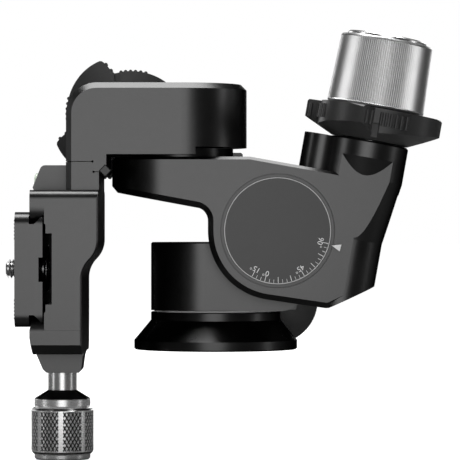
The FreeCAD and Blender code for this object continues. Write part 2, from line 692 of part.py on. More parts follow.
def tilt_body():
    """Front plate, arm and worm housing as one casting, cut back where it swings past the ear."""
    ear_relief = cyl(EAR_R + GAP, 60, vec(TILT_X, BACK_Y, TILT_Z), BACK)
    skin = union([tilt_plate(), arm().cut(ear_relief)])
    relief = box(-60, 60, BACK_Y - WORM_Y, 60, -40, HOUSE_RELIEF_TOP)
    slope = placed(box(0, 60, -60, 60, HOUSE_FOOT - 1, HOUSE_SLOPE_TOP),
                   FreeCAD.Placement(vec(HOUSE_BACK_CUT / 2, HOUSE_BACK_CUT / 2, 0), FreeCAD.Rotation(UP, 45)))
    barrel = placed(worm_housing().cut(relief).cut(slope), TILT_DRIVE)
    under_chin = slab_xz([(CHIN_X, CHIN_Z), (CHIN_X + FAR, CHIN_Z + FAR * CHIN_SLOPE), (CHIN_X + FAR, -FAR),
                          (0, -FAR), (0, CHIN_Z)], -FAR, FAR)
    barrel = barrel.cut(under_chin)
    return cut_all(skin.fuse(barrel), base_swings()).removeSplitter()


def tilt_body_bores():
    """Everything bored out of the tilt body."""
    axis_y = vec(TILT_X, 0, TILT_Z)
    dial_depth = DIAL_INSET + DIAL_T + 0.1
    dial = cyl(DIAL_BORE_R, dial_depth, axis_y + vec(0, FACE_Y, 0), BACK)
    shaft = cyl(TILT_SHAFT_R + RUN + BUSH_WALL, BACK_Y - FACE_Y, axis_y + vec(0, FACE_Y, 0), BACK)
    wheel_front = WORM_Y - GEAR_W / 2 - 0.3
    cavity = cyl(TILT_WHEEL_R + CAVITY_PLAY, BACK_Y - wheel_front, axis_y + vec(0, wheel_front, 0), BACK)
    screws = [cyl(2.0, 10, vec(ROLL_X + 12 * math.cos(a), ROLL_Y + 12 * math.sin(a), ARM_TOP - 10))
              for a in (math.radians(45 + 90 * i) for i in range(4))]
    spigot = cyl(ROLL_SHAFT_R, 5, vec(ROLL_X, ROLL_Y, ARM_TOP - 5))
    worm_hole = cyl(WORM_BORE_R, SLEEVE_LOW + WORM_END + 0.3, vec(0, 0, -WORM_END - 0.3))
    sleeve_hole = cyl(SLEEVE_R + RUN, RING_TOP - SLEEVE_LOW + 1, vec(0, 0, SLEEVE_LOW - 0.1))
    drive = [placed(worm_hole, TILT_DRIVE), placed(sleeve_hole, TILT_DRIVE)]
    return [dial, shaft, cavity, spigot] + screws + drive


def tilt_bush():
    front = FACE_Y + DIAL_INSET + DIAL_T + 0.1
    back = WORM_Y - GEAR_W / 2 - 0.3
    return tube(TILT_SHAFT_R + RUN + BUSH_WALL, TILT_SHAFT_R + RUN, back - front,
                vec(TILT_X, front, TILT_Z), BACK)


def tilt_closing_ring():
    front = WORM_Y + GEAR_W / 2 + 0.4
    ring = tube(TILT_WHEEL_R + CAVITY_PLAY, TILT_SHAFT_R + 1.5, BACK_Y - front,
                vec(TILT_X, front, TILT_Z), BACK)
    return ring.cut(placed(cyl(WORM_BORE_R, 60, vec(0, 0, -30)), TILT_DRIVE))


def worm_end_bush(frame):
    return placed(tube(WORM_BORE_R, WORM_SHAFT_R + RUN, 4.4, vec(0, 0, -WORM_END)), frame)


# ================================================================ roll axis
def roll_shaft():
    flange = turned([(0, ARM_TOP), (NECK_R, ARM_TOP), (NECK_R, BLOCK_LOW - 0.4),
                     (ROLL_SHAFT_R, BLOCK_LOW - 0.4), (ROLL_SHAFT_R, ROLL_SHAFT_TOP), (0, ROLL_SHAFT_TOP)])
    spigot = cyl(ROLL_SHAFT_R, 5, vec(0, 0, ARM_TOP - 5))
    shape = flange.fuse(spigot)
    shape.translate(vec(ROLL_X, ROLL_Y, 0))
    return shape.removeSplitter()


def roll_shaft_screws():
    """Four screws up through the arm into the flange of the roll shaft."""
    shapes = []
    for index in range(4):
        turn = math.radians(45 + 90 * index)
        spot = vec(ROLL_X + 12 * math.cos(turn), ROLL_Y + 12 * math.sin(turn), 0)
        shapes.append(cyl(2.0, 10, spot + vec(0, 0, ARM_TOP - 10)))
    return Part.makeCompound(shapes)


def roll_stop():
    x0 = ROLL_X + NECK_R
    block = box(x0, x0 + STOP_OUT, ROLL_Y - STOP_W / 2, ROLL_Y + STOP_W / 2, ARM_TOP, ARM_TOP + STOP_H)
    block = chamfer(block, 0.6, lambda p: near(p.x, x0 + STOP_OUT) and near(p.z, ARM_TOP + STOP_H))
    return block.cut(cyl(NECK_R, 5, vec(ROLL_X, ROLL_Y, ARM_TOP)))


def roll_block():
    back = ROLL_Y + BLOCK_R
    front = ROLL_Y - BLOCK_R
    barrel = cyl(BLOCK_R, BLOCK_TOP - BLOCK_LOW, vec(ROLL_X, ROLL_Y, BLOCK_LOW))
    leg = box(BLOCK_LEFT, ROLL_X, front, back, BLOCK_LOW, BLOCK_TOP)
    step = box(BLOCK_LEFT, LEG_RIGHT, front, back, LEG_LOW, BLOCK_LOW)
    step = step.common(box(BLOCK_LEFT, ROLL_X, front, back, 0, FAR).fuse(
        cyl(BLOCK_R, FAR, vec(ROLL_X, ROLL_Y, 0))))
    stem = slab_xz([(BLOCK_LEFT, STEM_LOW), (STEM_FOOT_RIGHT, STEM_LOW), (STEM_FOOT_RIGHT, SLIT_LOWER_Z),
                    (STEM_RIGHT, SLIT_LOWER_Z), (STEM_RIGHT, LEG_LOW), (BLOCK_LEFT, LEG_LOW)], front, back)
    body = union([barrel, leg, step, stem])
    body = fillet(body, BLOCK_CORNER, lambda p: near(p.x, BLOCK_LEFT) and near(p.z, BLOCK_TOP))
    body = chamfer(body, BLOCK_EDGE, lambda p: near(p.z, BLOCK_TOP))
    ring = placed(cyl(BLOCK_TOP - ROLL_WORM_Z - 0.6, ROLL_RING_TOP, vec(0, 0, 0)), ROLL_DRIVE)
    return body.fuse(ring).removeSplitter()


def roll_block_bores():
    top = ROLL_WORM_Z + GEAR_W / 2 + 0.4
    base = vec(ROLL_X, ROLL_Y, 0)
    neck = cyl(NECK_R + GAP, BLOCK_LOW - STEM_LOW, base + vec(0, 0, STEM_LOW))
    cavity = cyl(ROLL_WHEEL_R + CAVITY_PLAY, top - BLOCK_LOW, base + vec(0, 0, BLOCK_LOW))
    shaft = cyl(ROLL_SHAFT_R + RUN + BUSH_WALL, ROLL_SHAFT_TOP + 0.5 - top, base + vec(0, 0, top))
    worm_hole = cyl(WORM_BORE_R, SLEEVE_LOW + WORM_END + 0.3, vec(0, 0, -WORM_END - 0.3))
    sleeve_hole = cyl(SLEEVE_R + RUN, ROLL_RING_TOP - SLEEVE_LOW + 1, vec(0, 0, SLEEVE_LOW - 0.1))
    drive = [placed(worm_hole, ROLL_DRIVE), placed(sleeve_hole, ROLL_DRIVE)]
    return [neck, cavity, shaft, lock_bar()] + stem_slits() + drive


def stem_slits():
    """Saw cuts that let the stem be drawn together, each ending in a small round hole."""
    y0 = ROLL_Y - BLOCK_R - 1
    y1 = ROLL_Y + BLOCK_R + 1
    shapes = []
    for x0, x1, end, z in ((BLOCK_LEFT - 1, SLIT_UPPER_END, SLIT_UPPER_END, SLIT_UPPER_Z),
                           (SLIT_LOWER_END, STEM_RIGHT + 1, SLIT_LOWER_END, SLIT_LOWER_Z)):
        shapes.append(box(x0, x1, y0, y1, z - SLIT_W / 2, z + SLIT_W / 2))
        shapes.append(cyl(SLIT_END_R, y1 - y0, vec(end, y0, z), BACK))
    return shapes


def roll_bush():
    top = ROLL_WORM_Z + GEAR_W / 2 + 0.4
    return tube(ROLL_SHAFT_R + RUN + BUSH_WALL, ROLL_SHAFT_R + RUN, ROLL_SHAFT_TOP - top,
                vec(ROLL_X, ROLL_Y, top))


def roll_closing_ring():
    high = ROLL_WORM_Z - GEAR_W / 2 - 0.4
    ring = tube(ROLL_WHEEL_R + CAVITY_PLAY, ROLL_SHAFT_R + 1.5, high - BLOCK_LOW - 0.2,
                vec(ROLL_X, ROLL_Y, BLOCK_LOW + 0.2))
    return ring.cut(placed(cyl(WORM_BORE_R, 60, vec(0, 0, -30)), ROLL_DRIVE))


def lock_bar():
    """Square bar along Y, turned by 45 degrees, in a notch of the stem."""
    half = LOCK_BAR_W / 2
    bar = box(-half, half, 0, LOCK_BAR_BACK - LOCK_BAR_FRONT, -half, half)
    bar.Placement = FreeCAD.Placement(vec(LOCK_BAR_X, LOCK_BAR_FRONT, LOCK_BAR_Z), FreeCAD.Rotation(BACK, 45))
    return bar


def stem_lock_bar():
    return chamfer(lock_bar(), LOCK_BAR_EDGE, lambda p: near(p.y, LOCK_BAR_FRONT))


# ================================================================ clamp
def waist_edges():
    """Two tangent arcs that lead the clamp's right side from its wide top to its slim foot."""
    half_drop = (CLAMP_STEP_HIGH - CLAMP_STEP_LOW) / 2
    half_in = (CLAMP_IN_X - CLAMP_SLIM_X) / 2
    turn = 2 * math.atan2(half_in, half_drop)
    radius = half_drop / math.sin(turn)
    middle = vec((CLAMP_IN_X + CLAMP_SLIM_X) / 2, CLAMP_Y0, (CLAMP_STEP_HIGH + CLAMP_STEP_LOW) / 2)
    dx = radius * (1 - math.cos(turn / 2))
    dz = radius * math.sin(turn / 2)
    top = vec(CLAMP_IN_X, CLAMP_Y0, CLAMP_STEP_HIGH)
    foot = vec(CLAMP_SLIM_X, CLAMP_Y0, CLAMP_STEP_LOW)
    return [Part.Arc(top, top + vec(-dx, 0, -dz), middle).toShape(),
            Part.Arc(middle, foot + vec(dx, 0, dz), foot).toShape()]


def hook_rounds(tip_z, side):
    """Cutters that round off a jaw's tip at the clamp's front and back ends."""
    shapes = []
    for end, inward in ((CLAMP_Y0, 1), (CLAMP_Y1, -1)):
        y = end + inward * HOOK_ROUND
        z = tip_z + side * HOOK_ROUND
        corner = box(CLAMP_OUT_X - 1, FLOOR_X, min(end - inward, y), max(end - inward, y),
                     min(tip_z - side, z), max(tip_z - side, z))
        shapes.append(corner.cut(cyl(HOOK_ROUND, FAR, vec(-FAR, y, z), RIGHT)))
    return shapes


def clamp_body():
    half = DOVE_BASE / 2
    apex_z = GRIP_Z + half + 0.5
    flank = PLATE_IN_X - (GRIP_Z + half) - DOVE_PLAY
    tip_z = GRIP_Z + half - DOVE_H + 0.3
    lip = FLOOR_X + 0.5
    points = [(CLAMP_SLIM_X, CLAMP_STEP_LOW), (CLAMP_SLIM_X, CLAMP_SPLIT), (FLOOR_X, CLAMP_SPLIT),
              (FLOOR_X, CHANNEL_LOW - 3), (lip, CHANNEL_LOW - 2.5), (lip, CHANNEL_LOW),
              (CHANNEL_X, CHANNEL_LOW), (CHANNEL_X, CHANNEL_HIGH), (lip, CHANNEL_HIGH),
              (lip, CHANNEL_HIGH + 3), (FLOOR_X, CHANNEL_HIGH + 3.5), (FLOOR_X, apex_z),
              (apex_z + flank, apex_z), (tip_z + flank, tip_z), (CLAMP_OUT_X + 0.8, tip_z),
              (CLAMP_OUT_X, tip_z + 2.3), (CLAMP_OUT_X, STEM_LOW), (CLAMP_IN_X, STEM_LOW),
              (CLAMP_IN_X, CLAMP_STEP_HIGH)]
    corners = [vec(x, CLAMP_Y0, z) for x, z in points]
    edges = [Part.LineSegment(first, last).toShape() for first, last in zip(corners, corners[1:])]
    slab = Part.Face(Part.Wire(edges + waist_edges())).extrude(vec(0, CLAMP_LONG, 0))
    for end in (CLAMP_Y0, CLAMP_Y1):
        slab = chamfer(slab, CLAMP_EDGE, lambda p: near(p.y, end) and p.x > CLAMP_SLIM_X - 0.01)
        slab = fillet(slab, CLAMP_TOP_ROUND, lambda p: near(p.y, end) and near(p.z, STEM_LOW))
    bracket = slab_xz([(-62.9, BRACKET_TOP), (BLOCK_LEFT, BRACKET_TOP), (BLOCK_LEFT, STEM_LOW - 2),
                       (-64.6, STEM_LOW - 3), (-66.1, 59.2)], ROLL_Y - 2, CLAMP_Y1 - 4)
    bracket = fillet(bracket, 2.0, lambda p: near(p.z, BRACKET_TOP) and near(p.x, -62.9))
    return cut_all(slab.fuse(bracket).removeSplitter(), hook_rounds(tip_z, 1))


def clamp_bores():
    screw = cyl(SCREW_R + 0.05, SCREW_TOP + 0.3 - CLAMP_SPLIT, vec(SCREW_X, ROLL_Y, CLAMP_SPLIT))
    pins = [cyl(PIN_R, PIN_IN, vec(PIN_X, ROLL_Y + side * PIN_APART / 2, CLAMP_SPLIT)) for side in (-1, 1)]
    level = cyl(LEVEL_R + 0.05, 4.6, vec(LEVEL_X - 0.6, CLAMP_Y1 - LEVEL_FROM_END, LEVEL_Z), RIGHT)
    return [screw, level] + pins + bracket_screw_solids()


def bracket_screw_solids():
    shapes = []
    for y in (ROLL_Y + 3, CLAMP_Y1 - 8):
        head = cyl(2.8, 2.2, vec(-61.5, y, BRACKET_SCREW_Z), RIGHT)
        shank = cyl(1.5, 14, vec(-59.4, y, BRACKET_SCREW_Z), RIGHT)
        shapes.append(head.fuse(shank).removeSplitter())
    return shapes


def bubble_level():
    return turned_at([(0, 0), (LEVEL_R - 0.8, 0), (LEVEL_R, 0.8), (LEVEL_R, 4.0), (0, 4.0)],
                     vec(LEVEL_X, CLAMP_Y1 - LEVEL_FROM_END, LEVEL_Z), RIGHT)


def clamp_jaw():
    half = DOVE_BASE / 2
    low_z = GRIP_Z - half - 0.5
    tip_z = GRIP_Z - half + DOVE_H - 0.3
    top = CLAMP_SPLIT - JAW_GAP
    points = [(CLAMP_OUT_X, 5.7), (CLAMP_OUT_X, 8.4), (CLAMP_OUT_X + 0.8, tip_z - 1.5),
              (CLAMP_OUT_X + 0.8, tip_z),
              (PLATE_IN_X - (tip_z - (GRIP_Z - half)) - DOVE_PLAY, tip_z),
              (PLATE_IN_X + 0.5 - DOVE_PLAY, low_z), (FLOOR_X - 0.1, low_z), (FLOOR_X - 0.1, top),
              (CLAMP_SLIM_X, top), (CLAMP_SLIM_X, CLAMP_FOOT), (-47.6, CLAMP_FOOT - 1.6),
              (-48.2, NOSE_LOW + 1),
              (-49.0, NOSE_LOW), (-60.6, NOSE_LOW), (-61.9, NOSE_LOW + 1.2), (-64.0, CLAMP_FOOT - 1.2),
              (-64.6, CLAMP_FOOT + 0.8)]
    slab = slab_xz(points, CLAMP_Y0, CLAMP_Y1)
    for low, high in ((CLAMP_Y0 - 1, ROLL_Y - JAW_NOSE), (ROLL_Y + JAW_NOSE, CLAMP_Y1 + 1)):
        slab = slab.cut(box(-70, -40, low, high, NOSE_LOW - 1, CLAMP_FOOT))
    for end in (CLAMP_Y0, CLAMP_Y1):
        slab = chamfer(slab, JAW_FOOT_EDGE, lambda p: near(p.y, end) and near(p.z, CLAMP_FOOT))
        slab = chamfer(slab, CLAMP_EDGE, lambda p: near(p.y, end) and near(p.x, CLAMP_SLIM_X))
    return cut_all(slab, hook_rounds(tip_z, -1))


def jaw_bores():
    screw = cyl(SCREW_R + RUN, 30, vec(SCREW_X, ROLL_Y, -12))
    well = cyl(JAW_SPRING_R + 2 * JAW_SPRING_WIRE, JAW_SPRING_H + 0.4,
               vec(SCREW_X, ROLL_Y, CLAMP_SPLIT - JAW_GAP - JAW_SPRING_H - 0.4))
    depth = PIN_OUT + 0.5
    pins = [cyl(PIN_R + 0.05, depth, vec(PIN_X, ROLL_Y + side * PIN_APART / 2, CLAMP_SPLIT - depth))
            for side in (-1, 1)]
    return [screw, well] + pins


def jaw_guide_pins():
    shapes = [cyl(PIN_R, PIN_IN + PIN_OUT, vec(PIN_X, ROLL_Y + side * PIN_APART / 2, CLAMP_SPLIT - PIN_OUT))
              for side in (-1, 1)]
    return Part.makeCompound(shapes)


def clamp_knob():
    shape = turned([(0, CK_FOOT), (CK_FOOT_R - 0.6, CK_FOOT), (CK_FOOT_R, CK_FOOT + 0.6),
                    (CK_FOOT_R, CK_GRIP_LOW), (CK_GRIP_R, CK_GRIP_LOW + 1.2),
                    (CK_GRIP_R, CK_RING_LOW - 1.2), (CK_FOOT_R - 0.3, CK_RING_LOW),
                    (CK_RING_R, CK_RING_LOW + 0.3), (CK_RING_R, CK_CONE_LOW - 0.2),
                    (CK_RING_R - 0.2, CK_CONE_LOW), (0, CK_CONE_LOW)])
    shape.translate(vec(SCREW_X, ROLL_Y, 0))
    return shape


def clamp_knob_cone():
    shape = turned([(SCREW_R, CK_SHAFT_LOW), (CK_SHAFT_R - 0.1, CK_SHAFT_LOW),
                    (CK_RING_R - 0.05, CK_CONE_LOW), (SCREW_R, CK_CONE_LOW)])
    shape.translate(vec(SCREW_X, ROLL_Y, 0))
    return shape


def clamp_knob_sleeve():
    return tube(CK_SHAFT_R, SCREW_R, NOSE_LOW - 0.05 - CK_SHAFT_LOW, vec(SCREW_X, ROLL_Y, CK_SHAFT_LOW))


def clamp_screw():
    return cyl(SCREW_R, SCREW_TOP - CK_CONE_LOW, vec(SCREW_X, ROLL_Y, CK_CONE_LOW))


# ================================================================ camera plate
def camera_plate():
    half = DOVE_BASE / 2
    neck = half - DOVE_H
    deck = PLATE_W / 2
    points = [(PLATE_OUT_X, GRIP_Z - deck), (PLATE_DECK_X, GRIP_Z - deck), (PLATE_DECK_X, GRIP_Z - neck),
              (PLATE_IN_X - DOVE_H, GRIP_Z - neck), (PLATE_IN_X, GRIP_Z - half), (PLATE_IN_X, GRIP_Z + half),
              (PLATE_IN_X - DOVE_H, GRIP_Z + neck), (PLATE_DECK_X, GRIP_Z + neck),
              (PLATE_DECK_X, GRIP_Z + deck), (PLATE_OUT_X, GRIP_Z + deck)]
    slab = slab_xz(points, CLAMP_Y0, CLAMP_Y1)
    slab = fillet(slab, PLATE_CORNER, lambda p: near(abs(p.z - GRIP_Z), deck)
                  and (near(p.y, CLAMP_Y0) or near(p.y, CLAMP_Y1)))
    ribs = []
    for end in (-1, 1):
        for index in range(6):
            z = GRIP_Z + end * (deck - 3.0 - index * PLATE_RIB_PITCH)
            ribs.append(box(PLATE_OUT_X - PLATE_RIB_UP, PLATE_OUT_X + 0.2, CLAMP_Y0 + 5, CLAMP_Y1 - 5,
                            z - PLATE_RIB_PITCH / 4, z + PLATE_RIB_PITCH / 4))
    slab = slab.fuse(Part.makeCompound(ribs).fuse(ribs[0])).removeSplitter()
    hole = cyl(CAM_NECK_R + 0.1, 20, vec(PLATE_OUT_X - 3, ROLL_Y, GRIP_Z), RIGHT)
    well = cyl(WELL_R, WELL_DEPTH + 1, vec(PLATE_IN_X - WELL_DEPTH, ROLL_Y, GRIP_Z), RIGHT)
    slot = box(PLATE_IN_X - PLATE_SLOT_DEPTH, PLATE_IN_X + 1, CLAMP_Y0 - 1, ROLL_Y,
               GRIP_Z - PLATE_SLOT_W / 2, GRIP_Z + PLATE_SLOT_W / 2)
    return cut_all(slab, [hole, well, slot])


def camera_screw():
    head_x = PLATE_IN_X - WELL_DEPTH + 0.1
    shank = turned_at([(0, 0), (CAM_R - 0.5, 0), (CAM_R, 0.5), (CAM_R, CAM_OUT - 0.2),
                       (CAM_NECK_R, CAM_OUT - 0.2), (CAM_NECK_R, head_x - PLATE_OUT_X + CAM_OUT),
                       (0, head_x - PLATE_OUT_X + CAM_OUT)],
                      vec(PLATE_OUT_X - CAM_OUT, ROLL_Y, GRIP_Z), RIGHT)
    head = cyl(CAM_HEAD_R, CAM_HEAD_T, vec(head_x, ROLL_Y, GRIP_Z), RIGHT)
    top_x = head_x + CAM_HEAD_T + CAM_HUB_T
    hub = cyl(CAM_HUB_R, CAM_HUB_T, vec(head_x + CAM_HEAD_T, ROLL_Y, GRIP_Z), RIGHT)
    slot = box(top_x - 1, top_x + 1, ROLL_Y - WELL_R, ROLL_Y + WELL_R, GRIP_Z - 0.8, GRIP_Z + 0.8)
    return union([shank, head, hub]).cut(slot)


def screw_ring():
    """D-shaped wire handle that folds flat round the camera screw's head."""
    x = PLATE_IN_X - RING_DEPTH
    ring = Part.makeTorus(RING_R, RING_WIRE_R, vec(x, ROLL_Y, GRIP_Z), RIGHT)
    lugs = [cyl(RING_WIRE_R, RING_R - CAM_HUB_R, vec(x, ROLL_Y, GRIP_Z + side * CAM_HUB_R), vec(0, 0, side))
            for side in (-1, 1)]
    return union([ring] + lugs)


# ================================================================ build
def cut_all(shape, tools):
    for tool in tools:
        shape = shape.cut(tool)
    return shape


def drive_set(name, frame, teeth, offset, bore, collar_low, knob_low, peak):
    """All pieces of one worm drive."""
    cap_low = knob_low + KNOB_H - KNOB_CAP_H
    save(name + "_worm_wheel", wheel(frame, teeth, offset, bore))
    save(name + "_worm", worm(frame, cap_low))
    save(name + "_worm_end_bush", worm_end_bush(frame))
    save(name + "_release_collar", release_collar(frame, collar_low, SLEEVE_R, peak))
    save(name + "_release_sleeve", drive_sleeve(frame, SLEEVE_LOW, collar_low + COLLAR_H, SLEEVE_R))
    save(name + "_knob", drive_knob(frame, knob_low))
    save(name + "_knob_cap", knob_cap(frame, knob_low))


def main():
    os.makedirs("parts", exist_ok=True)
    save("base_flange", base_flange())
    save("base_thread_insert", socket_insert())
    save("pan_spindle", pan_spindle())
    save("pan_thrust_washer", pan_thrust_washer())
    save("pan_retaining_nut", pan_nut())
    save("pan_bush", pan_bush())
    save("pan_housing", pan_housing())
    save("pan_top_cap", pan_cap())
    save("pan_lock_knob", pan_lock_knob())
    save("pan_lock_screw", pan_lock_screw())
    save("tilt_shaft", tilt_shaft())
    save("tilt_shaft_end_disc", tilt_shaft_end_disc())
    save("tilt_dial", tilt_dial())
    save("tilt_body", cut_all(tilt_body(), tilt_body_bores()))
    save("tilt_bush", tilt_bush())
    save("tilt_closing_ring", tilt_closing_ring())
    drive_set("tilt", TILT_DRIVE, TILT_TEETH, TILT_OFFSET, TILT_SHAFT_R, TILT_COLLAR_LOW, TILT_KNOB_LOW,
              TILT_PEAK)
    save("roll_shaft", roll_shaft())
    save("roll_shaft_screws", roll_shaft_screws())
    save("roll_stop", roll_stop())
    save("roll_block", cut_all(roll_block(), roll_block_bores() + bracket_screw_solids()))
    save("roll_bush", roll_bush())
    save("roll_closing_ring", roll_closing_ring())
    save("stem_lock_bar", stem_lock_bar())
    drive_set("roll", ROLL_DRIVE, ROLL_TEETH, ROLL_OFFSET, ROLL_SHAFT_R, ROLL_COLLAR_LOW, ROLL_KNOB_LOW,
              ROLL_PEAK)
    save("clamp_body", cut_all(clamp_body(), clamp_bores()))
    save("clamp_bracket_screws", Part.makeCompound(bracket_screw_solids()))
    save("bubble_level", bubble_level())
    save("clamp_jaw", cut_all(clamp_jaw(), jaw_bores()))
    save("jaw_guide_pins", jaw_guide_pins())
    save("jaw_spring", spring(JAW_SPRING_R, JAW_SPRING_WIRE, JAW_SPRING_H - 2 * JAW_SPRING_WIRE, 3,
                              vec(SCREW_X, ROLL_Y, CLAMP_SPLIT - SHADOW - JAW_SPRING_H)))
    save("clamp_screw", clamp_screw())
    save("clamp_knob", clamp_knob())
    save("clamp_knob_cone", clamp_knob_cone())
    save("clamp_knob_sleeve", clamp_knob_sleeve())
    save("camera_plate", camera_plate())
    save("camera_screw", camera_screw())
    save("camera_screw_ring", screw_ring())


main()
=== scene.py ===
# %% [markdown]
# # Dressing a geared tripod head
# The construction model gives every piece its true size and place. This lesson loads it as a fixed frame,
# adds the knurled grips, the dial's scale and the screw threads, gives every surface a finish, and sets up
# a small studio. All lengths are in metres. X points right, Y points away from the camera and Z points up.

# %% Load the frame
import bpy
import math
from mathutils import Matrix, Vector


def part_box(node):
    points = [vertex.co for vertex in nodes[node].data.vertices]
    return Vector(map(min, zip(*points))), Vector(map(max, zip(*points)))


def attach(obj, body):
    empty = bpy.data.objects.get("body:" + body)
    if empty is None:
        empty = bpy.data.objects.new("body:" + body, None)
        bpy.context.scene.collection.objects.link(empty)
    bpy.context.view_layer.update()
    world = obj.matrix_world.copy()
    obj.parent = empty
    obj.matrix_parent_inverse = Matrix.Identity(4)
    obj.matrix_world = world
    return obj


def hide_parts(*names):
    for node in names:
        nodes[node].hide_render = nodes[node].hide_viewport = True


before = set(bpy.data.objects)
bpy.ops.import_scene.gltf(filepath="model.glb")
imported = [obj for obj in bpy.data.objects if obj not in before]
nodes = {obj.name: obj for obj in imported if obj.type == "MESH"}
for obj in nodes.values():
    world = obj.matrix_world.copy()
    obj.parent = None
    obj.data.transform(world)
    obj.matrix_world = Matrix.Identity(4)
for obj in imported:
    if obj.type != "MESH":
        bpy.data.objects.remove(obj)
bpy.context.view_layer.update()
print("nodes in the frame:", len(nodes))

# %% [markdown]
# ## Writing shader maths as expressions
# A finish is a network of nodes. Wiring dozens of Math nodes by hand hides the idea, so one small class
# wraps a socket and turns + - and * into Math nodes. One method adds any other kind of node.


# %% A socket that understands arithmetic
class Value:
    """A number socket of a material, with operators that add Math nodes."""

    def __init__(self, tree, socket):
        self.tree = tree
        self.socket = socket

    def maths(self, operation, other=None, swapped=False):
        node = self.tree.nodes.new("ShaderNodeMath")
        node.operation = operation
        mine, theirs = (1, 0) if swapped else (0, 1)
        self.tree.links.new(self.socket, node.inputs[mine])
        if isinstance(other, Value):
            self.tree.links.new(other.socket, node.inputs[theirs])
        elif other is not None:
            node.inputs[theirs].default_value = other
        return Value(self.tree, node.outputs[0])

    def __add__(self, other):
        return self.maths("ADD", other)

    def __radd__(self, other):
        return self.maths("ADD", other)

    def __sub__(self, other):
        return self.maths("SUBTRACT", other)

    def __rsub__(self, other):
        return self.maths("SUBTRACT", other, swapped=True)

    def __mul__(self, other):
        return self.maths("MULTIPLY", other)

    def __rmul__(self, other):
        return self.maths("MULTIPLY", other)

    def clamped(self):
        """Keeps the last Math node's result between 0 and 1."""
        self.socket.node.use_clamp = True
        return self


# %% A finish: one material and its nodes
class Finish:
    """A material under construction, with its Principled shader ready to be fed."""

    def __init__(self, name, **constants):
        self.material = bpy.data.materials.new(name)
        self.material.use_nodes = True
        self.tree = self.material.node_tree
        self.shader = self.tree.nodes["Principled BSDF"]
        for socket, value in constants.items():
            self.shader.inputs[socket.replace("_", " ")].default_value = value

    def node(self, kind, settings=None, **sockets):
        """Adds one node, sets it up, then fills its sockets with numbers or links."""
        made = self.tree.nodes.new("ShaderNode" + kind)
        for key, value in (settings or {}).items():
            if key == "ramp":
                fill_ramp(made.color_ramp, value)
            else:
                setattr(made, key, value)
        for key, value in sockets.items():
            slot = made.inputs[key.replace("_", " ")]
            if isinstance(value, Value):
                self.tree.links.new(value.socket, slot)
            else:
                slot.default_value = value
        return made

    def out(self, made, name=0):
        return Value(self.tree, made.outputs[name])

    def place(self):
        return self.out(self.node("TexCoord"), "Object")

    def noise(self, size, detail=2.0, rough=0.5):
        """Noise whose features are about this many metres across, from 0 to 1."""
        made = self.node("TexNoise", Vector=self.place(), Scale=1 / size, Detail=detail, Roughness=rough)
        return self.out(made, "Factor" if "Factor" in made.outputs else "Fac")

    def ramp(self, factor, stops):
        return self.out(self.node("ValToRGB", {"ramp": stops}, Fac=factor), "Color")

    def bump(self, height, depth, strength=1.0):
        made = self.node("Bump", Height=height, Distance=depth, Strength=strength)
        self.feed("Normal", self.out(made, "Normal"))

    def feed(self, socket, value):
        self.tree.links.new(value.socket, self.shader.inputs[socket])


def fill_ramp(ramp, stops):
    """Gives a colour ramp exactly these (position, grey or colour) stops."""
    while len(ramp.elements) > 1:
        ramp.elements.remove(ramp.elements[-1])
    for index, (position, colour) in enumerate(stops):
        rgb = colour if isinstance(colour, tuple) else (colour, colour, colour)
        element = ramp.elements[0] if index == 0 else ramp.elements.new(position)
        element.position = position
        element.color = (*rgb, 1)


print("shader helpers ready")

# %% [markdown]
# ## Blasted black anodising
# The castings are bead-blasted, then dyed black. Blasting leaves a grain of about a tenth of a millimetre,
# too fine to see as bumps but enough to blur every reflection. Two noises do it: one small for the grain and
# one broad for the slight unevenness of the dye and of hands on it.


# %% Black anodised aluminium
DYE_PATCH = 0.012
BLAST_GRAIN = 0.00012
GRAIN_DEEP = 0.000006
EDGE_GLARE = (0.12, 0.12, 0.12, 1)


def black_anodised(name, tone, roughness):
    finish = Finish(name, Metallic=1.0, Specular_Tint=EDGE_GLARE)
    cloud = finish.noise(DYE_PATCH, 3.0)
    grit = finish.noise(BLAST_GRAIN, 2.0, 0.6)
    shade = cloud * 0.25 + grit * 0.3
    finish.feed("Base Color", finish.ramp(shade, [(0.15, tone * 0.82), (0.40, tone * 1.18)]))
    finish.feed("Roughness", cloud * 0.10 + grit * 0.08 + (roughness - 0.09))
    finish.bump(grit, GRAIN_DEEP, 0.35)
    return finish.material


castings = black_anodised("blasted_black", 0.095, 0.33)
# A darker copy of the blasted black, for the base flange and the roll stop; on the roll shaft, which sits in
# shade under the roll block, it is painted shade.
base_black_and_painted_shade = black_anodised("base_black_and_painted_shade", 0.070, 0.30)
dial_black = black_anodised("dial_black", 0.071, 0.36)
print("black finishes ready")

# %% [markdown]
# ## Silver grips
# The grips are turned, knurled and anodised clear. On the knurl the light comes from the shape, so the
# material is a plain satin metal. The clear oxide skin of the bright parts scatters some light, so they are
# a little less than fully metallic.


# %% Satin silver and polished silver
TURNED_PATCH = 0.008
TURNED_GRAIN = 0.00018
TURNED_DEEP = 0.000004


def silver(name, tone, roughness, metal=1.0):
    finish = Finish(name, Metallic=metal)
    cloud = finish.noise(TURNED_PATCH)
    grit = finish.noise(TURNED_GRAIN, 2.0, 0.6)
    finish.feed("Base Color", finish.ramp(cloud * 0.5 + grit * 0.3, [(0.2, tone * 0.93), (0.6, tone)]))
    finish.feed("Roughness", cloud * 0.10 + (roughness - 0.05))
    finish.bump(grit, TURNED_DEEP, 0.3)
    return finish.material


grip_silver = silver("satin_silver", 0.82, 0.34)
bright_silver = silver("bright_silver", 0.92, 0.25, 0.93)
turned_steel = silver("turned_steel", 0.62, 0.28)
dark_steel = silver("black_oxide_steel", 0.06, 0.34)
print("metals ready")


# %% [markdown]
# ## Bronze, moulded polymer and the clear level
# The bushes and worm wheels are bronze. The release collars are moulded in a matt polymer with a fine
# pebbled skin. The bubble level is a clear acrylic vial with a pale green liquid. It is so small that a plain
# glossy green is enough, with no light passing through.


# %% Bronze
BRONZE_PATCH = 0.006


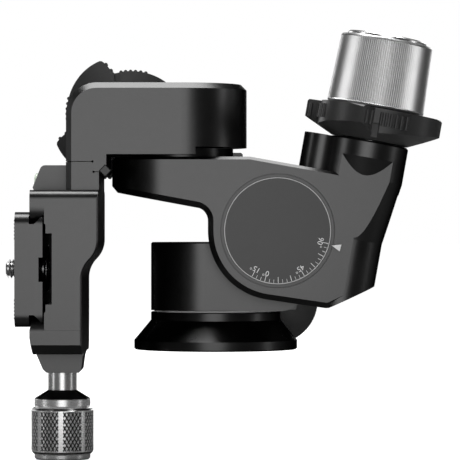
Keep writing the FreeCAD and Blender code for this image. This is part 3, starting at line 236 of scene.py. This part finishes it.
def bronze():
    finish = Finish("turned_bronze", Metallic=1.0)
    cloud = finish.noise(BRONZE_PATCH, 3.0)
    finish.feed("Base Color", finish.ramp(cloud, [(0.3, (0.42, 0.25, 0.09)), (0.7, (0.62, 0.42, 0.18))]))
    finish.feed("Roughness", cloud * 0.2 + 0.2)
    return finish.material


# %% Moulded polymer
PEBBLE = 0.00035
PEBBLE_DEEP = 0.00003
MOULD_PATCH = 0.015


def polymer(name, tone, roughness):
    finish = Finish(name)
    pebble = finish.noise(PEBBLE, 2.0, 0.55)
    cloud = finish.noise(MOULD_PATCH)
    shade = cloud * 0.6 + pebble * 0.4
    finish.feed("Base Color", finish.ramp(shade, [(0.3, tone * 0.8), (0.7, tone * 1.2)]))
    finish.feed("Roughness", pebble * 0.15 + (roughness - 0.08))
    finish.bump(pebble, PEBBLE_DEEP, 0.5)
    return finish.material


# %% Clear acrylic level
LEVEL_PATCH = 0.004


def clear_level():
    finish = Finish("clear_level", Roughness=0.08, IOR=1.49)
    cloud = finish.noise(LEVEL_PATCH, 1.0)
    finish.feed("Base Color", finish.ramp(cloud, [(0.3, (0.62, 0.72, 0.60)), (0.7, (0.74, 0.82, 0.70))]))
    return finish.material


collar_black = polymer("collar_black", 0.026, 0.36)
washer_pale = polymer("washer_pale", 0.55, 0.45)
bronze_turned = bronze()
level_clear = clear_level()
print("other finishes ready")


# %% [markdown]
# ## White print
# The dial's figures, its ticks and the pointer are filled white paint. Paint in an engraving is a little
# uneven, so a small noise moves its tone.


# %% White paint
PAINT_PATCH = 0.0015


def white_paint(name, tone):
    finish = Finish(name, Roughness=0.55)
    cloud = finish.noise(PAINT_PATCH)
    finish.feed("Base Color", finish.ramp(cloud, [(0.3, tone * 0.9), (0.7, tone)]))
    return finish.material


print_white = white_paint("print_white", 0.80)
print_grey = white_paint("print_grey", 0.55)
print("paints ready")

# %% [markdown]
# ## Dressing the construction nodes
# Most nodes already have the right shape. Each only gets the finish that its metal or polymer has.

# %% Which node wears which finish
WEARS = [
    (castings, ["pan_housing", "pan_top_cap", "tilt_body", "tilt_closing_ring", "roll_block",
                "roll_closing_ring", "clamp_body", "clamp_jaw", "camera_plate", "clamp_knob_cone"]),
    # The roll shaft wears the darker black as painted shade, since it sits in shade under the roll block.
    (base_black_and_painted_shade, ["base_flange", "roll_shaft", "roll_stop"]),
    (dial_black, ["tilt_dial"]),
    (collar_black, ["tilt_release_collar", "roll_release_collar", "pan_lock_knob"]),
    (grip_silver, ["tilt_knob", "roll_knob", "clamp_knob"]),
    (bright_silver, ["tilt_knob_cap", "roll_knob_cap", "clamp_knob_sleeve"]),
    (turned_steel, ["base_thread_insert", "pan_spindle", "pan_retaining_nut", "tilt_shaft",
                    "tilt_shaft_end_disc", "tilt_worm", "roll_worm", "tilt_release_sleeve",
                    "roll_release_sleeve", "jaw_guide_pins", "jaw_spring", "clamp_screw",
                    "camera_screw", "camera_screw_ring"]),
    (dark_steel, ["pan_lock_screw", "roll_shaft_screws", "clamp_bracket_screws", "stem_lock_bar"]),
    (bronze_turned, ["pan_bush", "tilt_bush", "roll_bush", "tilt_worm_end_bush", "roll_worm_end_bush",
                     "tilt_worm_wheel", "roll_worm_wheel"]),
    (washer_pale, ["pan_thrust_washer"]),
    (level_clear, ["bubble_level"]),
]


def wear(thing, material):
    thing.data.materials.clear()
    thing.data.materials.append(material)


for material, names in WEARS:
    for name in names:
        wear(nodes[name], material)
print("dressed nodes:", sum(len(names) for _, names in WEARS), "of", len(nodes))

# %% [markdown]
# ## Turning a shape by extruding its end
# A lathe takes a bar and leaves a profile. In edit mode the same thing is done from a disc: extrude its face
# up by a step, scale it to the next radius, and go on. The face that is carried along closes the far end.


# %% Helpers for edit mode
def nothing_selected():
    if bpy.context.object and bpy.context.object.mode != "OBJECT":
        bpy.ops.object.mode_set(mode="OBJECT")
    bpy.ops.object.select_all(action="DESELECT")


def set_down(piece, place=None):
    """Moves a finished piece to its place and writes the place into its mesh."""
    nothing_selected()
    if place is not None:
        piece.matrix_world = place
    bpy.context.view_layer.objects.active = piece
    piece.select_set(True)
    bpy.ops.object.transform_apply(location=True, rotation=True, scale=True)
    return piece


def select_in(piece, test):
    """Selects the vertices of the active edit-mode piece whose place passes the test."""
    bpy.ops.mesh.select_all(action="DESELECT")
    bpy.ops.object.mode_set(mode="OBJECT")
    for vertex in piece.data.vertices:
        vertex.select = bool(test(vertex.co))
    bpy.ops.object.mode_set(mode="EDIT")
    bpy.ops.mesh.select_mode(type="VERT")


def draw_in(amount, radius):
    """Pulls what is selected towards the Z axis, by this amount at this radius."""
    shrink = 1 - amount / radius
    bpy.ops.transform.resize(value=(shrink, shrink, 1), center_override=(0, 0, 0))


def thicken(amount):
    """Gives a flat edit-mode mesh a thickness along +Z, with its faces outward."""
    bpy.ops.mesh.select_all(action="SELECT")
    bpy.ops.mesh.extrude_region_move(TRANSFORM_OT_translate={"value": (0, 0, amount)})
    bpy.ops.mesh.select_all(action="SELECT")
    bpy.ops.mesh.normals_make_consistent(inside=False)


def lathe(name, profile, steps):
    """A solid of revolution from (radius, height) pairs, in metres, with its axis on Z."""
    nothing_selected()
    radius, height = profile[0]
    bpy.ops.mesh.primitive_circle_add(vertices=steps, radius=radius, fill_type="NGON",
                                      location=(0, 0, height))
    piece = bpy.context.object
    piece.name = piece.data.name = name
    bpy.ops.object.mode_set(mode="EDIT")
    bpy.ops.mesh.select_mode(type="FACE")
    bpy.ops.mesh.select_all(action="SELECT")
    for (r0, z0), (r1, z1) in zip(profile, profile[1:]):
        bpy.ops.mesh.extrude_region_move(TRANSFORM_OT_translate={"value": (0, 0, z1 - z0)})
        if r1 != r0:
            scale = r1 / r0
            bpy.ops.transform.resize(value=(scale, scale, 1), center_override=(0, 0, z1))
    bpy.ops.mesh.select_all(action="SELECT")
    bpy.ops.mesh.normals_make_consistent(inside=False)
    bpy.ops.object.mode_set(mode="OBJECT")
    return set_down(piece)


def smooth(piece, degrees):
    """Shades the piece smooth, except over edges that are sharper than this."""
    nothing_selected()
    bpy.context.view_layer.objects.active = piece
    piece.select_set(True)
    bpy.ops.object.shade_smooth_by_angle(angle=math.radians(degrees))
    return piece


print("modelling helpers ready")

# %% [markdown]
# ## The two drive grips
# Each grip is an aluminium shell with a fine straight knurl of 140 ridges round. A bump map would leave
# its outline smooth, so the ridges are real: the lathe uses two columns of points for every ridge, and
# every second column is drawn in towards the axis. The knurl stops short of the rounded ends.

# %% Sizes of the grips
RIDGES = 140
RIDGE_DEPTH = 0.00036
LEAN = math.radians(10.05)
DRIVE = {
    "tilt": Matrix.Translation((0.0487857, -0.027, 0.0387882)) @ Matrix.Rotation(LEAN, 4, "Y"),
    "roll": Matrix.Translation((-0.0357, -0.0185, 0.08315)) @ Matrix.Rotation(-math.pi / 2, 4, "X"),
}
GRIP_LOW = {"tilt": 0.0493, "roll": 0.0376}
GRIP_LONG = 0.0249
GRIP_FOOT_R, GRIP_TOP_R = 0.0175, 0.0165
CAP_SEAT_R, CAP_SEAT_DEEP = 0.01455, 0.0029
HUB_R = 0.0040
KNURL_ROWS = [0.0007, 0.0010, 0.0239, 0.0242]
HAIR = 0.0001
print("tilt grip starts", GRIP_LOW["tilt"], "m up the worm axis")


# %% Model one grip
def grip(name, low):
    """Knurled drive grip along +Z, from its hub's underside to the recess for its cap."""
    high = low + GRIP_LONG
    foot, top = GRIP_FOOT_R, GRIP_TOP_R
    slope = (top - foot) / GRIP_LONG
    profile = [(HUB_R, low), (foot - 0.0008, low), (foot - 0.0004, low + 0.0001),
               (foot - 0.0002, low + 0.0004)]
    profile += [(foot + slope * row, low + row) for row in KNURL_ROWS]
    profile += [(top - 0.0001, high - 0.0004), (top - 0.0003, high - 0.0001), (top - 0.0007, high),
                (CAP_SEAT_R, high), (CAP_SEAT_R, high - CAP_SEAT_DEEP)]
    piece = lathe(name, profile, RIDGES * 2)
    bpy.ops.object.mode_set(mode="EDIT")
    step = math.pi / RIDGES

    def valley(point):
        inside = low + KNURL_ROWS[0] + HAIR < point.z < low + KNURL_ROWS[-1] - HAIR
        column = round(math.atan2(point.x, point.y) / step)
        return inside and column % 2 == 1

    select_in(piece, valley)
    draw_in(RIDGE_DEPTH, foot)
    bpy.ops.object.mode_set(mode="OBJECT")
    return smooth(piece, 25)


for side in ("tilt", "roll"):
    piece = set_down(grip(side + "_grip", GRIP_LOW[side]), DRIVE[side])
    wear(piece, grip_silver)
    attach(piece, side + "_drive")
    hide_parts(side + "_knob")
    print(piece.name, "faces:", len(piece.data.polygons))

# %% [markdown]
# ## The clamp knob
# This knob has a coarse diamond knurl, broken by eight plain bars. Its pattern repeats every four columns and
# four rows of points: a point on a diamond's middle or beside it stays out, the points on the two crossing
# grooves around it go in. The diamonds keep a small flat top, as a knurling wheel leaves them. The grooves
# get
# painted shade: the finish is darker the deeper a point lies, by its distance from the knob's axis.

# %% Sizes of the clamp knob
KNOB_X, KNOB_Y = -0.0554, -0.0185
KNOB_R, SLEEVE_RING_R = 0.0113, 0.01015
KNURL_TOP, KNURL_FOOT = -0.0213, -0.0360
COLUMNS, ROWS = 192, 24
REPEAT = 4
GROOVE = 0.00040
BARS = 8
BAR_HALF = 2.01
print("knurl pitch round the knob, m:", round(2 * math.pi * KNOB_R * REPEAT / COLUMNS, 5))


# %% Model the clamp knob
def diamond_knob():
    row_high = (KNURL_TOP - KNURL_FOOT) / ROWS
    profile = [(0.0095, -0.0391), (0.0101, -0.0385), (0.0101, -0.0373), (KNOB_R - 0.0006, -0.0368)]
    profile += [(KNOB_R, KNURL_FOOT + row * row_high) for row in range(ROWS + 1)]
    profile += [(KNOB_R - 0.0006, -0.0205), (0.0098, -0.0200), (SLEEVE_RING_R, -0.0197),
                (SLEEVE_RING_R, -0.0173), (SLEEVE_RING_R - 0.0002, -0.0171)]
    piece = lathe("clamp_grip", profile, COLUMNS)
    bpy.ops.object.mode_set(mode="EDIT")
    step = 2 * math.pi / COLUMNS
    bar_apart = COLUMNS / BARS

    def pit(point):
        row = round((point.z - KNURL_FOOT) / row_high)
        column = round(math.atan2(point.x, -point.y) / step)
        in_bar = abs((column + bar_apart / 2) % bar_apart - bar_apart / 2) <= BAR_HALF
        on_side = math.hypot(point.x, point.y) > KNOB_R - HAIR / 2 and 0 < row < ROWS
        middle = (row % REPEAT, column % REPEAT) in ((0, 0), (REPEAT / 2, REPEAT / 2))
        return on_side and not in_bar and (row + column) % 2 == 0 and not middle

    select_in(piece, pit)
    draw_in(GROOVE, KNOB_R)
    select_in(piece, lambda point: math.hypot(point.x, point.y) > KNOB_R - 2 * GROOVE
              and KNURL_FOOT - HAIR < point.z < KNURL_TOP + HAIR)
    bpy.ops.mesh.quads_convert_to_tris(quad_method="SHORTEST_DIAGONAL")
    bpy.ops.object.mode_set(mode="OBJECT")
    return smooth(piece, 12)


# %% A silver with painted shade in the grooves
def grooved_silver():
    """Bright on the diamonds and bars, with painted shade at the bottom of the grooves."""
    finish = Finish("grooved_silver", Metallic=0.86)
    spot = finish.node("SeparateXYZ", Vector=finish.place())
    aside = finish.out(spot, "X") - KNOB_X
    ahead = finish.out(spot, "Y") - KNOB_Y
    radius = (aside * aside + ahead * ahead).maths("SQRT")
    above = (radius - (KNOB_R - GROOVE)).maths("ABSOLUTE") * (1 / GROOVE)
    cloud = finish.noise(TURNED_PATCH)
    # Painted shade: the base colour darkens towards the bottom of the grooves.
    finish.feed("Base Color", finish.ramp(above, [(0.15, 0.04), (0.55, 0.45), (0.85, 0.95)]))
    finish.feed("Roughness", cloud * 0.10 + 0.20)
    return finish.material


clamp_grip = set_down(diamond_knob(), Matrix.Translation((KNOB_X, KNOB_Y, 0)))
wear(clamp_grip, grooved_silver())
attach(clamp_grip, "clamp_turn")
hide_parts("clamp_knob")
print("clamp knob faces:", len(clamp_grip.data.polygons))

# %% [markdown]
# ## The pan lock knob
# The lock knob behind the housing is moulded, with a fine straight knurl that a thumb can feel but the
# outline hardly shows. Every second column of the lathe is drawn in by a tenth of a millimetre.


# %% Model the lock knob
LOCK_STEPS = 180
LOCK_R = 0.0165
LOCK_GROOVE = 0.0001


def lock_knob():
    profile = [(0.0050, 0.0), (LOCK_R - 0.0012, 0.0), (LOCK_R - 0.0003, 0.0004), (LOCK_R, 0.0012),
               (LOCK_R, 0.0112), (LOCK_R - 0.0003, 0.0120), (LOCK_R - 0.0012, 0.0124), (0.0110, 0.0124),
               (0.0100, 0.0112)]
    piece = lathe("lock_grip", profile, LOCK_STEPS)
    bpy.ops.object.mode_set(mode="EDIT")
    step = 2 * math.pi / LOCK_STEPS
    select_in(piece, lambda point: math.hypot(point.x, point.y) > LOCK_R - HAIR
              and round(math.atan2(point.y, point.x) / step) % 2 == 0)
    draw_in(LOCK_GROOVE, LOCK_R)
    bpy.ops.object.mode_set(mode="OBJECT")
    return smooth(piece, 40)


lock_place = Matrix.Translation((0.022, 0.0286, 0.0172)) @ Matrix.Rotation(-math.pi / 2, 4, "X")
lock_grip = set_down(lock_knob(), lock_place)
wear(lock_grip, collar_black)
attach(lock_grip, "pan_lock")
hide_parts("pan_lock_knob")
print("lock knob faces:", len(lock_grip.data.polygons))

# %% [markdown]
# ## The camera screw
# The screw that stands out of the plate has a 1/4 inch thread of twenty turns to the inch. A helix is easy
# with the Screw modifier: a small triangle is drawn once beside the axis and swept up and round. Its point
# stands a third of a millimetre proud of the true size. The shank, the flat head in the plate and the hub
# behind it are one turned piece.

# %% Sizes of the camera screw
SCREW_R = 0.003175
THREAD_ROOT = 0.0026
THREAD_PITCH = 0.00127
THREAD_TURNS = 3
TRIANGLE_R = THREAD_PITCH * 0.52
TRIANGLE_AT = SCREW_R - TRIANGLE_R / 2
STEPS_A_TURN = 32
HEAD_R, HEAD_HIGH = 0.0060, 0.0018
HUB_END_R, HUB_HIGH = 0.00255, 0.0013
SCREW_Y, SCREW_Z = -0.0185, 0.0298
screw_low, screw_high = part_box("camera_screw")
print("camera screw is", round((screw_high.x - screw_low.x) * 1000, 1), "mm long")


# %% Model the camera screw
def screw_body(long):
    """Shank, head and hub along +Z, which becomes +X."""
    seat, back = long - HUB_HIGH - HEAD_HIGH, long - HUB_HIGH
    profile = [(THREAD_ROOT - 0.0006, 0.0), (THREAD_ROOT, 0.0006), (THREAD_ROOT, seat),
               (HEAD_R - 0.0002, seat), (HEAD_R, seat + 0.0002), (HEAD_R, back - 0.0002),
               (HEAD_R - 0.0002, back), (HUB_END_R, back), (HUB_END_R, long - 0.0003),
               (HUB_END_R - 0.0003, long)]
    return lathe("camera_bolt_turned", profile, 64)


# %% Model its thread
def screw_thread():
    """One triangle with its point outward, swept into a helix."""
    nothing_selected()
    bpy.ops.mesh.primitive_circle_add(vertices=3, radius=TRIANGLE_R, fill_type="NOTHING",
                                      location=(0, 0, 0))
    thread = bpy.context.object
    thread.name = thread.data.name = "camera_thread"
    bpy.ops.object.mode_set(mode="EDIT")
    bpy.ops.mesh.select_all(action="SELECT")
    bpy.ops.transform.rotate(value=math.pi / 2, orient_axis="X", center_override=(0, 0, 0))
    bpy.ops.transform.rotate(value=math.pi / 2, orient_axis="Y", center_override=(0, 0, 0))
    bpy.ops.object.mode_set(mode="OBJECT")
    point = max((vertex.co.x for vertex in thread.data.vertices), key=abs)
    thread.rotation_euler = (0, 0, math.pi if point < 0 else 0)
    set_down(thread)
    thread.location = (TRIANGLE_AT, 0, THREAD_PITCH * 0.55)
    set_down(thread)
    swept = thread.modifiers.new("helix", "SCREW")
    swept.axis = "Z"
    swept.angle = 2 * math.pi * THREAD_TURNS
    swept.screw_offset = THREAD_PITCH * THREAD_TURNS
    swept.steps = swept.render_steps = STEPS_A_TURN * THREAD_TURNS
    swept.use_merge_vertices = True
    bpy.ops.object.modifier_apply(modifier="helix")
    bpy.ops.object.mode_set(mode="EDIT")
    bpy.ops.mesh.select_all(action="DESELECT")
    bpy.ops.mesh.select_mode(type="EDGE")
    bpy.ops.mesh.select_non_manifold()
    bpy.ops.mesh.edge_face_add()
    bpy.ops.mesh.select_all(action="SELECT")
    bpy.ops.mesh.normals_make_consistent(inside=False)
    bpy.ops.object.mode_set(mode="OBJECT")
    return thread


along_x = Matrix.Translation((screw_low.x, SCREW_Y, SCREW_Z)) @ Matrix.Rotation(math.pi / 2, 4, "Y")
for piece in (screw_body(screw_high.x - screw_low.x), screw_thread()):
    smooth(piece, 30)
    set_down(piece, along_x)
    wear(piece, turned_steel)
    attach(piece, "camera_bolt")
    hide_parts("camera_screw")
    print(piece.name, "faces:", len(piece.data.polygons))

# %% [markdown]
# ## The dial's scale
# The scale shows how far the head is tilted. Its ticks run over an arc from the 15 degree mark below level
# to the 90 degree mark, one every five degrees, with a long one every fifteen. Each is a thin bar of paint,
# modelled flat and then turned into its place on the dial.

# %% Where the scale sits
DIAL = Vector((0.0222, 0, 0.0435))
DIAL_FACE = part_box("tilt_dial")[0].y
PAINT = 0.00004
FIRST_MARK, LAST_MARK = -15, 90
NINETY_AT = -14.3
TICK_END = 0.0186
LONG_TICK, LONG_WIDE = 0.0165, 0.00020
SHORT_TICK, SHORT_WIDE = 0.0174, 0.00014
FACE_FRONT = Matrix.Rotation(math.pi / 2, 4, "X")
print("dial face at Y", round(DIAL_FACE, 5))


# %% A bar of paint on a face that looks towards -Y
def turned(angle):
    """A turn about Y that takes +X to this angle, counted anticlockwise in the front view."""
    return Matrix.Rotation(-math.radians(angle), 4, "Y")


def beside_dial(angle, radius, face=DIAL_FACE):
    """The point at this angle and radius from the dial's centre, on a face at this Y."""
    turn = math.radians(angle)
    return Vector((DIAL.x + radius * math.cos(turn), face, DIAL.z + radius * math.sin(turn)))


def tick(angle, inner, width):
    nothing_selected()
    bpy.ops.mesh.primitive_plane_add(size=1, location=(0, 0, 0))
    piece = bpy.context.object
    piece.scale = (TICK_END - inner, width, 1)
    set_down(piece)
    bpy.ops.object.mode_set(mode="EDIT")
    thicken(PAINT)
    bpy.ops.object.mode_set(mode="OBJECT")
    centre = beside_dial(angle, (inner + TICK_END) / 2)
    return set_down(piece, Matrix.Translation(centre) @ turned(angle) @ FACE_FRONT)


def joined(name, pieces):
    nothing_selected()
    for piece in pieces:
        piece.select_set(True)
    bpy.context.view_layer.objects.active = pieces[0]
    bpy.ops.object.join()
    pieces[0].name = pieces[0].data.name = name
    return pieces[0]


# %% Draw the ticks
ticks = []
for mark in range(FIRST_MARK, LAST_MARK + 1, 5):
    inner, width = (LONG_TICK, LONG_WIDE) if mark % 15 == 0 else (SHORT_TICK, SHORT_WIDE)
    ticks.append(tick(NINETY_AT - (LAST_MARK - mark), inner, width))
dial_ticks = joined("dial_ticks", ticks)
wear(dial_ticks, print_white)
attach(dial_ticks, "pan")
print("ticks:", len(ticks))


# %% [markdown]
# ## Rings and figures
# A pale ring bounds the dial, and plain figures stand outside in along the scale with their heads outward.
# Figures start as text, which is given a hair of thickness and turned into a mesh.

# %% The dial's pale edge
EDGE_OUT, EDGE_IN = 0.0190, 0.01872


def flat_ring(name, centre, outer, inner):
    nothing_selected()
    bpy.ops.mesh.primitive_circle_add(vertices=180, radius=outer, fill_type="NGON", location=(0, 0, 0))
    piece = bpy.context.object
    piece.name = piece.data.name = name
    bpy.ops.object.mode_set(mode="EDIT")
    bpy.ops.mesh.select_mode(type="FACE")
    bpy.ops.mesh.select_all(action="SELECT")
    bpy.ops.mesh.inset(thickness=outer - inner)
    bpy.ops.mesh.delete(type="FACE")
    thicken(PAINT)
    bpy.ops.object.mode_set(mode="OBJECT")
    return set_down(piece, Matrix.Translation(centre) @ FACE_FRONT)


dial_edge = flat_ring("dial_edge", Vector((DIAL.x, DIAL_FACE, DIAL.z)), EDGE_OUT, EDGE_IN)
wear(dial_edge, print_grey)
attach(dial_edge, "pan")
print("dial edge ring done")


# %% Figures
FIGURES = (-15, 0, 45, 90)
FIGURE_AT = 0.0156
FIGURE_HIGH = 0.0027
FIGURE_SHIFT = 1.2


def figure(text, angle):
    """One figure, its head outward."""
    nothing_selected()
    bpy.ops.object.text_add(location=(0, 0, 0))
    piece = bpy.context.object
    piece.data.body = text
    piece.data.size = FIGURE_HIGH
    piece.data.align_x = "CENTER"
    piece.data.align_y = "CENTER"
    piece.data.extrude = PAINT / 2
    bpy.ops.object.convert(target="MESH")
    centre = beside_dial(angle, FIGURE_AT)
    return set_down(piece, Matrix.Translation(centre) @ turned(angle - 90) @ FACE_FRONT)


figures = [figure(str(abs(mark)) + "°", NINETY_AT - (LAST_MARK - mark) - FIGURE_SHIFT) for mark in FIGURES]
dial_figures = joined("dial_figures", figures)
wear(dial_figures, print_white)
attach(dial_figures, "pan")
print("figures:", len(figures))


# %% [markdown]
# ## The pointer
# A small white triangle on the tilt body shows where to read the scale. It starts as a three-sided disc,
# is stretched to its size and is laid on the body's face.

# %% Model the pointer
POINTER_AT = -15.3
POINTER_REACH = 0.0220
POINTER_R = 0.0016
POINTER_STRETCH = (0.92, 1.35, 1)


def pointer():
    nothing_selected()
    bpy.ops.mesh.primitive_circle_add(vertices=3, radius=POINTER_R, fill_type="NGON", location=(0, 0, 0))
    piece = bpy.context.object
    piece.name = piece.data.name = "tilt_pointer"
    bpy.ops.object.mode_set(mode="EDIT")
    thicken(PAINT)
    bpy.ops.transform.resize(value=POINTER_STRETCH, center_override=(0, 0, 0))
    bpy.ops.object.mode_set(mode="OBJECT")
    return piece


spot = beside_dial(POINTER_AT, POINTER_REACH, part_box("tilt_body")[0].y)
tilt_pointer = set_down(pointer(), Matrix.Translation(spot) @ turned(POINTER_AT + 90) @ FACE_FRONT)
wear(tilt_pointer, print_white)
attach(tilt_pointer, "tilt")
print("pointer at", tuple(round(v, 4) for v in spot))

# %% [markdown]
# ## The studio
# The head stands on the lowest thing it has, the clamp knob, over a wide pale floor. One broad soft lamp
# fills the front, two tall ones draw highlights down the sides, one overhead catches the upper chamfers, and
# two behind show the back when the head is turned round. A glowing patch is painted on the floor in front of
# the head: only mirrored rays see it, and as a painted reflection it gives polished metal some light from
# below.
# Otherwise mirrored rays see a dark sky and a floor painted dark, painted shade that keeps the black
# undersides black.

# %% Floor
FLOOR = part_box("clamp_knob")[0].z - 0.0001
FLOOR_WIDE = 30
FLOOR_PALE = 0.86
# How much darker mirrored rays see the floor: painted shade for the undersides that mirror it.
MIRRORED_FLOOR_SHADE = 0.80
# A glowing patch painted on the floor, seen only by mirrored rays: a painted reflection for polished metal.
PAINTED_GLOW_SPREAD = 0.27
PAINTED_GLOW_FROM = 0.15
PAINTED_GLOW_MIDDLE = -0.03
PAINTED_GLOW_STRENGTH = 1.2
PAINTED_GLOW_SIDE_BLUR, PAINTED_GLOW_NEAR_BLUR = 30.0, 12.0


def floor_plane():
    nothing_selected()
    bpy.ops.mesh.primitive_plane_add(size=FLOOR_WIDE, location=(0, 0, FLOOR))
    piece = bpy.context.object
    piece.name = piece.data.name = "studio_sweep"
    return set_down(piece)


# %% Finish of the floor, with its painted glow
def floor_white():
    finish = Finish("sweep_white", Roughness=0.8)
    finish.shader.inputs["Emission Color"].default_value = (1, 1, 1, 1)
    rays = finish.node("LightPath")
    seen = finish.out(rays, "Is Camera Ray")
    mirrored = finish.out(rays, "Is Glossy Ray")
    cloud = finish.noise(0.3, 1.0)
    # Painted shade: mirrored rays see the floor nearly black, so the undersides that mirror it stay dark.
    tone = cloud * 0.02 + FLOOR_PALE - mirrored * MIRRORED_FLOOR_SHADE
    finish.feed("Base Color", finish.ramp(tone, [(0.0, 0.0), (1.0, 1.0)]))
    # Painted reflection: a patch in front of the head glows for mirrored rays only.
    spot = finish.node("SeparateXYZ", Vector=finish.place())
    ahead = finish.out(spot, "Y") * -1.0
    aside = (finish.out(spot, "X") - PAINTED_GLOW_MIDDLE).maths("ABSOLUTE")
    painted_glow_patch = ((ahead * PAINTED_GLOW_SPREAD - aside) * PAINTED_GLOW_SIDE_BLUR + 0.5).clamped()
    near_edge = ((ahead - PAINTED_GLOW_FROM) * PAINTED_GLOW_NEAR_BLUR).clamped()
    finish.feed("Emission Strength", seen * FLOOR_PALE + mirrored * painted_glow_patch * near_edge * PAINTED_GLOW_STRENGTH)
    return finish.material


floor = floor_plane()
wear(floor, floor_white())
print("floor at Z", FLOOR)

# %% World
world = bpy.data.worlds.new("studio")
bpy.context.scene.world = world
world.use_nodes = True
sky = world.node_tree
rays = sky.nodes.new("ShaderNodeLightPath")
seen = Value(sky, rays.outputs["Is Camera Ray"])
mirrored = Value(sky, rays.outputs["Is Glossy Ray"])
strength = (seen * 0.8 - mirrored * 0.17 + 0.2).clamped()
ground = sky.nodes["Background"]
ground.inputs["Color"].default_value = (1, 1, 1, 1)
sky.links.new(strength.socket, ground.inputs["Strength"])
print("world ready")


# %% Lamps
LIT_POINT = Vector((0.0, -0.02, 0.045))
LAMPS = [
    ("front_soft", (-0.10, -1.35, 0.18), (0.80, 0.50), 2.0),
    ("left_strip", (-0.93, -0.25, 0.12), (0.22, 1.0), 1.4),
    ("right_strip", (0.94, -0.20, 0.12), (0.18, 1.0), 1.1),
    ("top_soft", (0.0, -0.05, 1.0), (1.0, 0.5), 11.0),
    ("back_soft", (0.45, 1.25, 0.45), (1.0, 0.7), 3.5),
    ("back_left_soft", (-0.75, 1.0, 0.30), (0.6, 0.8), 2.0),
]

for name, place, size, power in LAMPS:
    data = bpy.data.lights.new(name, "AREA")
    data.shape = "RECTANGLE"
    data.size, data.size_y = size
    data.energy = power
    lamp = bpy.data.objects.new(name, data)
    bpy.context.scene.collection.objects.link(lamp)
    lamp.location = place
    lamp.rotation_euler = (LIT_POINT - Vector(place)).to_track_quat("-Z", "Y").to_euler()
    lamp.visible_camera = False
print("lamps:", len(LAMPS))

# %% [markdown]
# ## The camera
# A long lens from a little over a metre keeps the shape nearly free of perspective, as product pictures do.

# %% Camera
eye = bpy.data.cameras.new("eye")
eye.sensor_width = 36
eye.lens = 233.7
eye_thing = bpy.data.objects.new("eye", eye)
bpy.context.scene.collection.objects.link(eye_thing)
eye_thing.location = (0.00527, -1.1, 0.04377)
eye_thing.rotation_euler = (math.pi / 2, 0, 0)
bpy.context.scene.camera = eye_thing
bpy.context.scene.view_settings.view_transform = "Standard"
print("camera ready")
